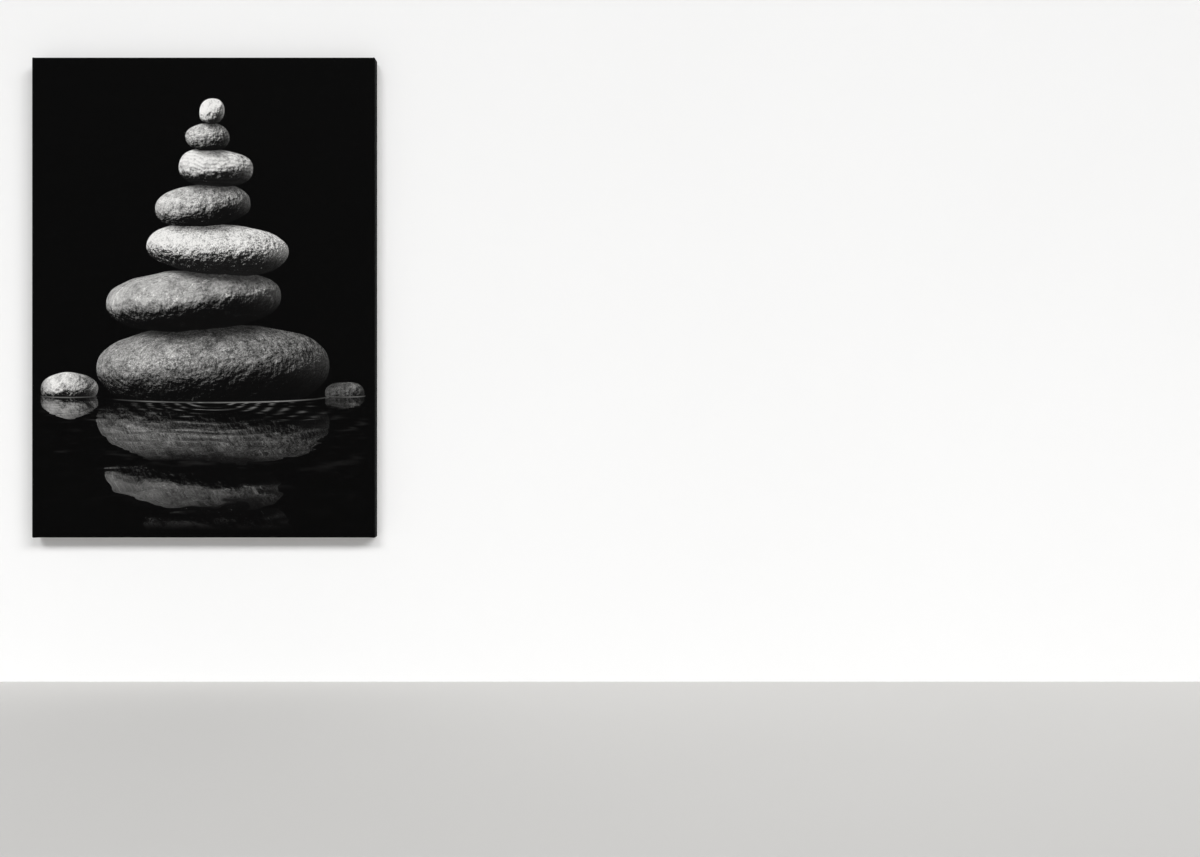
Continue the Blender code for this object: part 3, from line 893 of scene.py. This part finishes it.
def face_swell(x, z):
    """How far the stretched face stands from flat: slow waves, and faint scallops between the staples."""
    edge_x = HALF_WIDTH - abs(x)
    edge_z = HALF_HEIGHT - abs(z)
    edge = min(edge_x, edge_z)
    place = Vector((x * SLACK_SCALE, z * SLACK_SCALE, SLACK_LAYER))
    slow = noise.noise(place) * SLACK * smooth(edge, LIP, SLACK_FULL)
    run = z if edge_x < edge_z else x
    scallop = SCALLOP * math.cos(2 * math.pi * run / STAPLE_PITCH) * math.exp(-edge / SCALLOP_REACH)
    lip_line = LIP_DEPTH * math.exp(-(((edge - LIP) / LIP_WIDTH) ** 2))
    return slow + scallop * smooth(edge, SCALLOP_START, SCALLOP_FULL) - lip_line


def pleat_height(distance, way):
    """Height of the folded corner on the top and bottom sides, where two more layers lie under the cloth."""
    reach = way if way < SIDE_END else PLEAT_REACH - (way - SIDE_END)
    inside = 1 - smooth(distance, max(reach - PLEAT_SLOPE, 0.0), max(reach, PLEAT_EDGE))
    turned = max(1 - distance / PLEAT_EDGE, 0.0)
    return PLEAT * inside * math.sqrt(1 - turned * turned)


def walk_round(xs, zs):
    """Steps round the edge of the face, bottom, right, top and left, with a fan of leans at each corner."""
    sides = (
        (0, -1, [(x, zs[0]) for x in xs]),
        (1, 0, [(xs[-1], z) for z in zs]),
        (0, 1, [(x, zs[-1]) for x in reversed(xs)]),
        (-1, 0, [(xs[0], z) for z in reversed(zs)]),
    )
    walk = []
    for number, (lean_x, lean_z, places) in enumerate(sides):
        next_x, next_z = sides[(number + 1) % 4][:2]
        length = 2 * max(abs(places[0][0] * lean_z), abs(places[0][1] * lean_x))
        for x, z in places:
            run = math.dist((x, z), places[0])
            walk.append(Step(x, z, lean_x, lean_z, min(run, length - run), number, run))
        for part in range(1, FAN + 1):
            share = math.pi / 2 * part / (FAN + 1)
            lean = (
                lean_x * math.cos(share) + next_x * math.sin(share),
                lean_z * math.cos(share) + next_z * math.sin(share),
            )
            walk.append(Step(x, z, *lean, 0.0, number, length + WRAP_RADIUS * share))
    return walk


def wrap_rings():
    """The turn of the cloth from the face to the hem's cut edge, ring by ring."""
    quarter = math.pi / 2
    side = HEM_BACK - FACE - 2 * WRAP_RADIUS
    hem = HEM - WRAP_RADIUS
    rings = []
    for step in range(1, ROUND_STEPS + 1):
        angle = quarter * step / ROUND_STEPS
        depth = FACE + WRAP_RADIUS * (1 - math.cos(angle))
        rings.append(Ring(WRAP_RADIUS * math.sin(angle), depth, WRAP_RADIUS * angle))
    way = WRAP_RADIUS * quarter
    for step in range(1, SIDE_STEPS + 1):
        run = side * step / SIDE_STEPS
        rings.append(Ring(WRAP_RADIUS, FACE + WRAP_RADIUS + run, way + run))
    way += side
    for step in range(1, ROUND_STEPS):
        angle = quarter * step / ROUND_STEPS
        depth = HEM_BACK - WRAP_RADIUS * (1 - math.sin(angle))
        rings.append(Ring(WRAP_RADIUS * math.cos(angle), depth, way + WRAP_RADIUS * angle))
    way += WRAP_RADIUS * quarter
    for step in range(HEM_STEPS + 1):
        run = hem * step / HEM_STEPS
        rings.append(Ring(-run, HEM_BACK, way + run))
    return rings


def wrapped(step, ring):
    """The point of the cloth at one step of the walk and one ring of the turn."""
    outset = max(ring.outset, 0.0)
    shrink_x = 1 + min(ring.outset, 0.0) / (HALF_WIDTH - WRAP_RADIUS)
    shrink_z = 1 + min(ring.outset, 0.0) / (HALF_HEIGHT - WRAP_RADIUS)
    lift = 0.0
    if step.distance > 0:
        run = step.x if step.lean_z else step.z
        pucker = PUCKER * (0.5 - 0.5 * math.cos(2 * math.pi * run / STAPLE_PITCH))
        lift = pucker * smooth(ring.way, PUCKER_START * SIDE_END, SIDE_END)
        lift *= smooth(step.distance, 0.0, PUCKER_CORNER)
        if step.lean_z:
            lift += pleat_height(step.distance, ring.way)
    turn = smooth(ring.way, SIDE_END - WRAP_RADIUS, SIDE_END + WRAP_RADIUS)
    reach = outset + lift * (1 - turn)
    return (
        step.x * shrink_x + step.lean_x * reach,
        ring.depth + lift * turn,
        MIDDLE + step.z * shrink_z + step.lean_z * reach,
    )


def canvas_mesh():
    """The printed cloth's outer surface, as vertices, faces and the bake map's place of each face corner."""
    xs = side_points(HALF_WIDTH - WRAP_RADIUS)
    zs = side_points(HALF_HEIGHT - WRAP_RADIUS)
    vertices = []
    faces = []
    spots = []

    def add(place):
        vertices.append(place)
        return len(vertices) - 1

    grid = [[add((x, FACE - face_swell(x, z), MIDDLE + z)) for z in zs] for x in xs]

    def face_spot(column, row):
        return (
            FACE_PATCH[0] + (FACE_PATCH[1] - FACE_PATCH[0]) * (xs[column] / xs[-1] + 1) / 2,
            MAP_EDGE + (1 - 2 * MAP_EDGE) * (zs[row] / zs[-1] + 1) / 2,
        )

    for column in range(len(xs) - 1):
        for row in range(len(zs) - 1):
            corners = ((column, row), (column + 1, row), (column + 1, row + 1), (column, row + 1))
            faces.append([grid[across][up] for across, up in corners])
            spots.append([face_spot(across, up) for across, up in corners])

    walk = walk_round(xs, zs)
    rings = wrap_rings()
    longest = 2 * zs[-1] + WRAP_RADIUS * math.pi / 2

    def wrap_spot(side, run, way):
        low, high = WRAP_PATCHES[side]
        return (low + (high - low) * way / rings[-1].way, MAP_EDGE + (1 - 2 * MAP_EDGE) * run / longest)

    ring_before = [grid[xs.index(step.x)][zs.index(step.z)] for step in walk]
    way_before = 0.0
    for ring in rings:
        known = {}
        ring_now = []
        for step in walk:
            key = (step.x, step.z) + ((step.lean_x, step.lean_z) if ring.outset > 0 else ())
            if key not in known:
                known[key] = add(wrapped(step, ring))
            ring_now.append(known[key])
        for start, step in enumerate(walk):
            end = (start + 1) % len(walk)
            following = walk[end]
            past_corner = step.run + WRAP_RADIUS * math.pi / 2 / (FAN + 1)
            run_end = following.run if following.side == step.side else past_corner
            corners = {}
            for vertex, run, way in (
                (ring_before[start], step.run, way_before),
                (ring_now[start], step.run, ring.way),
                (ring_now[end], run_end, ring.way),
                (ring_before[end], run_end, way_before),
            ):
                corners.setdefault(vertex, wrap_spot(step.side, run, way))
            if len(corners) > 2:
                faces.append(list(corners))
                spots.append(list(corners.values()))
        ring_before = ring_now
        way_before = ring.way

    mesh = bpy.data.meshes.new("stretched_canvas")
    mesh.from_pydata(vertices, [], faces)
    bake_map = mesh.uv_layers.new(name="OFBake")
    for face, face_spots in zip(mesh.polygons, spots):
        for loop, spot in zip(face.loop_indices, face_spots):
            bake_map.data[loop].uv = spot
    return mesh


def lay_out_lining(mesh, outer_count):
    """Gives the inner side of the cloth and its cut edge their own places in the bake map."""
    bake_map = mesh.uv_layers["OFBake"].data
    low, high = WRAP_PATCHES[0][0], WRAP_PATCHES[-1][1]
    for face in mesh.polygons:
        for loop in face.loop_indices:
            u, v = bake_map[loop].uv
            if face.material_index == 1 and u <= FACE_PATCH[1] + MAP_SLIP:
                share = (u - FACE_PATCH[0]) / (FACE_PATCH[1] - FACE_PATCH[0])
                bake_map[loop].uv = (LINING_PATCH[0] + (LINING_PATCH[1] - LINING_PATCH[0]) * share, v)
            elif face.material_index == 1:
                share = (u - low) / (high - low)
                left, right, bottom, top = HIDDEN_PATCH
                bake_map[loop].uv = (left + (right - left) * share, bottom + (top - bottom) * v)
            elif face.material_index == 2:
                side = next(number for number, patch in enumerate(WRAP_PATCHES) if u <= patch[1] + MAP_SLIP)
                inner = mesh.loops[loop].vertex_index >= outer_count
                bake_map[loop].uv = (EDGE_PATCH[1] if inner else EDGE_PATCH[0], (side + v) / 4)
        if face.material_index == 2:
            face.material_index = 1


def make_canvas():
    """The stretched cloth with its thickness: printed outside, raw inside."""
    mesh = canvas_mesh()
    outer_count = len(mesh.vertices)
    thing = new_object("canvas_form", mesh, printed_finish(), raw_cloth_finish(), None)
    wall = thing.modifiers.new("thickness", "SOLIDIFY")
    wall.thickness = CLOTH
    wall.offset = -1
    wall.material_offset = 1
    wall.material_offset_rim = 2
    mesh = plain_mesh(thing)
    lay_out_lining(mesh, outer_count)
    mesh.materials.pop(index=2)
    mesh.shade_smooth()
    canvas = new_object("stretched_canvas", mesh)
    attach(canvas, "root")
    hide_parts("canvas")
    return canvas


def hem_path(inset, lower):
    """A closed line on the hem at this distance from the canvas's outline, sunk by lower."""
    walk = walk_round(side_points(HALF_WIDTH - WRAP_RADIUS), side_points(HALF_HEIGHT - WRAP_RADIUS))
    turned = math.pi * WRAP_RADIUS
    way = turned + (HEM_BACK - FACE - 2 * WRAP_RADIUS) + inset - WRAP_RADIUS
    ring = Ring(WRAP_RADIUS - inset, HEM_BACK - lower, way)
    places = [wrapped(step, ring) for step in walk if max(abs(step.lean_x), abs(step.lean_z)) == 1]
    mesh = bpy.data.meshes.new("hem_path")
    edges = [(start, (start + 1) % len(places)) for start in range(len(places))]
    mesh.from_pydata(places, edges, [])
    return mesh


# Trees of nodes for what repeats

class Grower(Recipe):
    """A Geometry Nodes tree that grows one kind of repeated piece."""

    def __init__(self, name):
        super().__init__(bpy.data.node_groups.new(name, "GeometryNodeTree"))
        face = self.tree.interface
        face.new_socket("Geometry", in_out="INPUT", socket_type="NodeSocketGeometry")
        face.new_socket("Geometry", in_out="OUTPUT", socket_type="NodeSocketGeometry")
        self.entry = self.tree.nodes.new("NodeGroupInput")
        self.values = {}

    def base(self):
        return Value(self, self.entry.outputs["Geometry"])

    def ask(self, name, value, kind="NodeSocketFloat"):
        """A named input of the tree, with the value that this print takes."""
        socket = self.tree.interface.new_socket(name, in_out="INPUT", socket_type=kind)
        self.values[socket.identifier] = value
        return Value(self, self.entry.outputs[name])

    def random(self, low, high, seed):
        return self.node("FunctionNodeRandomValue", None, {"Min": low, "Max": high, "Seed": seed})

    def sweep(self, path, section):
        """A solid with this section all along the path."""
        sockets = {"Curve": path, "Profile Curve": section, "Fill Caps": True}
        return self.node("GeometryNodeCurveToMesh", None, sockets)

    def repeat(self, sockets, material):
        """Sets a piece at every point, makes the instances real and gives them their material."""
        shape = self.node("GeometryNodeInstanceOnPoints", None, sockets)
        whole = self.node("GeometryNodeRealizeInstances", None, {"Geometry": shape})
        coated = self.node("GeometryNodeSetMaterial", None, {"Geometry": whole, "Material": material})
        self.tree.links.new(coated.socket, self.tree.nodes.new("NodeGroupOutput").inputs[0])

    def grow(self, name, mesh):
        """Runs the tree on a mesh and keeps the result as a plain mesh."""
        thing = new_object(name + "_base", mesh)
        modifier = thing.modifiers.new(name, "NODES")
        modifier.node_group = self.tree
        for identifier, value in self.values.items():
            modifier[identifier] = value
        grown = plain_mesh(thing)
        grown.name = name
        return new_object(name, grown)


def along_path(tree, path, pitch):
    """Points at even steps along a path, each turned so that X runs along it and Z points to the wall."""
    curve = tree.node("GeometryNodeMeshToCurve", None, {"Mesh": path})
    points = tree.node("GeometryNodeResampleCurve", {"mode": "LENGTH"}, {"Curve": curve, "Length": pitch})
    heading = tree.node("GeometryNodeInputTangent")
    turned = tree.node("FunctionNodeAlignRotationToVector", {"axis": "X"}, {"Vector": heading})
    settings = {"axis": "Z", "pivot_axis": "X"}
    sockets = {"Rotation": turned, "Vector": (0, 1, 0)}
    upright = tree.node("FunctionNodeAlignRotationToVector", settings, sockets)
    return points, upright


def swung(tree, rotation, x, y, z):
    """The rotation, turned further about its own axes."""
    turn = tree.node("FunctionNodeEulerToRotation", None, {"Euler": tree.vector(x, y, z)})
    settings = {"rotation_space": "LOCAL"}
    return tree.node("FunctionNodeRotateRotation", settings, {"Rotation": rotation, "Rotate By": turn})


def make_staples():
    """Staples all round the hem, each turned a little as a hand gun leaves them."""
    tree = Grower("staples")
    pitch = tree.ask("Pitch", STAPLE_PITCH)
    crown = tree.ask("Crown", STAPLE_CROWN)
    leg = tree.ask("Leg", STAPLE_LEG)
    wire_width = tree.ask("Wire Width", STAPLE_WIRE[0])
    wire_height = tree.ask("Wire Height", STAPLE_WIRE[1])
    bend = tree.ask("Bend", STAPLE_BEND)
    swing = tree.ask("Swing", math.radians(STAPLE_SWING))
    seed = tree.ask("Seed", 11, "NodeSocketInt")

    line = tree.node("GeometryNodeCurvePrimitiveLine", None, {"Start": (-0.5, 0, 0), "End": (0.5, 0, 0)})
    wire = tree.node("GeometryNodeResampleCurve", {"mode": "COUNT"}, {"Curve": line, "Count": 4})
    # Of the wire's four points, 0 and 3 are the tips of the legs, and 1 and 2 the ends of the crown.
    number = tree.node("GeometryNodeInputIndex")
    right = number > 1.5
    down = abs(number - 1.5) > 1.0
    place = tree.vector((right - 0.5) * crown, 0.0, down * leg * -1.0)
    wire = tree.node("GeometryNodeSetPosition", None, {"Geometry": wire, "Position": place})
    sockets = {"Curve": wire, "Count": 3, "Radius": bend}
    wire = tree.node("GeometryNodeFilletCurve", {"mode": "POLY"}, sockets)
    sockets = {"Width": wire_height, "Height": wire_width}
    section = tree.node("GeometryNodeCurvePrimitiveQuadrilateral", None, sockets)
    staple = tree.sweep(wire, section)

    points, upright = along_path(tree, tree.base(), pitch)
    turn = swung(tree, upright, 0.0, 0.0, tree.random(swing * -1.0, swing, seed))
    tree.repeat({"Points": points, "Instance": staple, "Rotation": turn}, staple_finish())
    staples = tree.grow("staples", hem_path(STAPLE_INSET, -STAPLE_WIRE[1] / 2))
    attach(staples, "root")
    return staples


def make_hem_threads():
    """Frayed ends of thread along the hem's cut edge, lying on the timber."""
    tree = Grower("hem_threads")
    pitch = tree.ask("Pitch", THREAD_PITCH)
    length = tree.ask("Length", THREAD_LENGTH)
    radius = tree.ask("Radius", THREAD_RADIUS)
    stray = tree.ask("Stray", math.radians(THREAD_STRAY))
    seed = tree.ask("Seed", 5, "NodeSocketInt")

    places = {name: tree.scaled(share, length) for name, share in THREAD_CURL.items()}
    curl = tree.node("GeometryNodeCurveQuadraticBezier", None, {"Resolution": 4, **places})
    section = tree.node("GeometryNodeCurvePrimitiveCircle", None, {"Resolution": 3, "Radius": radius})
    thread = tree.sweep(curl, section)

    points, upright = along_path(tree, tree.base(), pitch)
    sideways = tree.random(stray * -1.0, stray, seed)
    turn = swung(tree, upright, tree.random(*THREAD_TILTS, seed + 1.0), 0.0, sideways)
    size = tree.random(*THREAD_SIZES, seed + 2.0)
    sockets = {"Points": points, "Instance": thread, "Rotation": turn}
    tree.repeat({**sockets, "Scale": tree.vector(size, size, size)}, thread_finish())
    threads = tree.grow("hem_threads", hem_path(HEM, THREAD_SINK))
    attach(threads, "root")
    return threads


# Screws and feet

def turned_part(name, profile, closed):
    """A solid turned about the Y axis from (radius, y) places. A closed profile makes a ring."""
    shape = bmesh.new()
    rows = []
    for side in range(ROUND_SIDES):
        angle = 2 * math.pi * side / ROUND_SIDES
        row = []
        for radius, y in profile:
            row.append(shape.verts.new((radius * math.cos(angle), y, radius * math.sin(angle))))
        rows.append(row)
    spans = list(zip(range(len(profile)), range(1, len(profile))))
    if closed:
        spans.append((len(profile) - 1, 0))
    for row, after in zip(rows, rows[1:] + rows[:1]):
        for start, end in spans:
            shape.faces.new((row[start], row[end], after[end], after[start]))
    bmesh.ops.remove_doubles(shape, verts=shape.verts, dist=WELD)
    bmesh.ops.recalc_face_normals(shape, faces=shape.faces)
    return mesh_from(shape, name)


def arc(centre, radius, start, end, steps):
    """Places on an arc, as (radius, y), with its angles in degrees from outwards towards +Y."""
    places = []
    for step in range(steps + 1):
        angle = math.radians(start + (end - start) * step / steps)
        places.append((centre[0] + radius * math.cos(angle), centre[1] + radius * math.sin(angle)))
    return places


def recess_cutter():
    """A tapered cross that cuts the recess of a screw's head."""
    shape = bmesh.new()
    reach, half = SCREW_RECESS_REACH, SCREW_RECESS_WIDTH / 2
    deep = SCREW_HEAD_HEIGHT - SCREW_RECESS_DEPTH
    for length, width in ((reach, half), (half, reach)):
        for vertex in bmesh.ops.create_cube(shape, size=2.0)["verts"]:
            taper = SCREW_RECESS_TAPER if vertex.co.y < 0 else 1.0
            vertex.co.x *= length * taper
            vertex.co.z *= width * taper
            vertex.co.y = deep if vertex.co.y < 0 else SCREW_CUTTER_TOP
    return mesh_from(shape, "recess_cutter")


def screw_head():
    """A pan head with a cross recess, its seat at y = 0 and its crown towards the wall."""
    bulge = SCREW_HEAD_RADIUS - SCREW_RIM_START
    profile = [(0.0, 0.0), (SCREW_SEAT_RADIUS, 0.0), (SCREW_HEAD_RADIUS, SCREW_SEAT_EDGE)]
    profile += arc((SCREW_RIM_START, SCREW_RIM_HEIGHT), bulge, 0, SCREW_RIM_TURN, SCREW_RIM_STEPS)
    shoulder = profile[-1]
    for step in range(1, SCREW_CROWN_STEPS + 1):
        radius = shoulder[0] * (1 - step / SCREW_CROWN_STEPS)
        rise = (shoulder[0] ** 2 - radius ** 2) / (2 * SCREW_CROWN_RADIUS)
        profile.append((radius, shoulder[1] + rise))
    top = profile[-1][1]
    profile = [(radius, y * SCREW_HEAD_HEIGHT / top) for radius, y in profile]
    head = new_object("screw_head", turned_part("screw_head", profile, closed=False))
    cutter = new_object("recess_cutter", recess_cutter())
    cut = head.modifiers.new("recess", "BOOLEAN")
    cut.object = cutter
    cut.use_self = True
    cut.solver = "EXACT"
    mesh = plain_mesh(head)
    bpy.data.objects.remove(cutter)
    mesh.shade_smooth()
    mesh.set_sharp_from_angle(angle=math.radians(SCREW_CREASE))
    return mesh


def make_screws(name, nodes):
    """Pan-head screws in place of these nodes, each stopped at its own turn."""
    seats = []
    for node in nodes:
        middle = middle_of(node)
        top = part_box(node)[1][1]
        seats.append((middle.x, top - SCREW_HEAD_HEIGHT, middle.z))
    base = bpy.data.meshes.new("screw_seats")
    base.from_pydata(seats, [], [])
    pattern = new_object("screw_pattern", screw_head())

    tree = Grower(name)
    swing = tree.ask("Swing", math.pi)
    seed = tree.ask("Seed", 3, "NodeSocketInt")
    head = tree.node("GeometryNodeObjectInfo", None, {"Object": pattern}, "Geometry")
    sockets = {"Euler": tree.vector(0.0, tree.random(0.0, swing, seed), 0.0)}
    turn = tree.node("FunctionNodeEulerToRotation", None, sockets)
    tree.repeat({"Points": tree.base(), "Instance": head, "Rotation": turn}, zinc_finish())
    screws = tree.grow(name, base)
    bpy.data.objects.remove(pattern)
    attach(screws, "root")
    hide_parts(*nodes)
    return screws


def make_foot(node):
    """A rubber foot with rounded lips and a well for its screw."""
    base, face = (corner[1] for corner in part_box(node))
    floor = face - FOOT_WELL_DEPTH
    outer = FOOT_RADIUS - FOOT_TAPER - FOOT_ROUND
    inner = FOOT_WELL + FOOT_ROUND
    hollow = FOOT_WELL - FOOT_WELL_ROUND
    profile = [(FOOT_RADIUS, base + FOOT_CHAMFER), (FOOT_RADIUS, base + FOOT_SKIRT)]
    profile += arc((outer, face - FOOT_ROUND), FOOT_ROUND, 0, 90, FOOT_ROUND_STEPS)
    profile += arc((inner, face - FOOT_ROUND), FOOT_ROUND, 90, 180, FOOT_ROUND_STEPS)
    profile += arc((hollow, floor + FOOT_WELL_ROUND), FOOT_WELL_ROUND, 0, -90, FOOT_WELL_STEPS)
    profile += [(FOOT_BORE, floor), (FOOT_BORE, base), (FOOT_RADIUS - FOOT_CHAMFER, base)]
    mesh = turned_part(node + "_rubber", profile, closed=True)
    middle = middle_of(node)
    mesh.transform(Matrix.Translation((middle.x, 0.0, middle.z)))
    mesh.shade_smooth()
    mesh.set_sharp_from_angle(angle=math.radians(FOOT_CREASE))
    foot = new_object(node + "_rubber", mesh, rubber_finish())
    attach(foot, "root")
    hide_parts(node)
    return foot


# Keys in the slots of the corners and braces

def make_key(node, wood):
    """A birch key with its sawn edges just broken."""
    shape = bmesh.new()
    shape.from_mesh(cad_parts[node].data)
    bmesh.ops.remove_doubles(shape, verts=shape.verts, dist=WELD)
    bmesh.ops.dissolve_limit(shape, angle_limit=KEY_FLATNESS, verts=shape.verts, edges=shape.edges)
    bmesh.ops.bevel(
        shape,
        geom=shape.edges,
        offset=KEY_EDGE,
        segments=KEY_EDGE_STEPS,
        profile=0.5,
        affect="EDGES",
    )
    key = new_object(node + "_wedge", mesh_from(shape, node + "_wedge"), wood)
    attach(key, "root")
    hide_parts(node)
    return key


def make_keys():
    level = birch_finish("birch_level", upright=False)
    upright = birch_finish("birch_upright", upright=True)
    keys = []
    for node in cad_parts:
        if node.startswith("key_"):
            low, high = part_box(node)
            keys.append(make_key(node, upright if high[2] - low[2] > high[0] - low[0] else level))
    return keys


# Finishes of the solids that stay

Board = namedtuple("Board", "node upright pith_aside pith_deep ring taper")
BOARDS = (
    Board("bar_top", False, 0.020, 0.045, 0.0034, 0.004),
    Board("bar_bottom", False, -0.034, 0.033, 0.0040, -0.006),
    Board("bar_left", True, 0.041, 0.021, 0.0036, 0.005),
    Board("bar_right", True, -0.006, 0.034, 0.0044, 0.009),
    Board("brace_upright", True, 0.012, -0.032, 0.0038, 0.010),
    Board("brace_level", False, -0.012, -0.028, 0.0032, -0.008),
)
BOARD_SHIFT = 1.7


def coat(node, material):
    """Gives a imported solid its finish."""
    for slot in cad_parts[node].material_slots:
        slot.material = material


def coat_timber_and_rail():
    for number, board in enumerate(BOARDS):
        middle = middle_of(board.node)
        side = middle.x if board.upright else middle.z
        pith = (side + board.pith_aside, middle.y + board.pith_deep)
        coat(board.node, pine_finish(board, pith, BOARD_SHIFT * number))
    coat("cleat", aluminium_finish())


set_camera()
set_stage()
set_light()
canvas = make_canvas()
staples = make_staples()
threads = make_hem_threads()
rail_screws = [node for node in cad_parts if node.startswith("cleat_screw")]
cleat_screws = make_screws("cleat_screws", rail_screws)
foot_screws = make_screws("bumper_screws", ["bumper_screw_left", "bumper_screw_right"])
feet = [make_foot("bumper_left"), make_foot("bumper_right")]
keys = make_keys()
coat_timber_and_rail()
print_parts = [canvas, staples, threads, cleat_screws, foot_screws, *feet, *keys]
set_back_light([*print_parts, *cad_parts.values()])
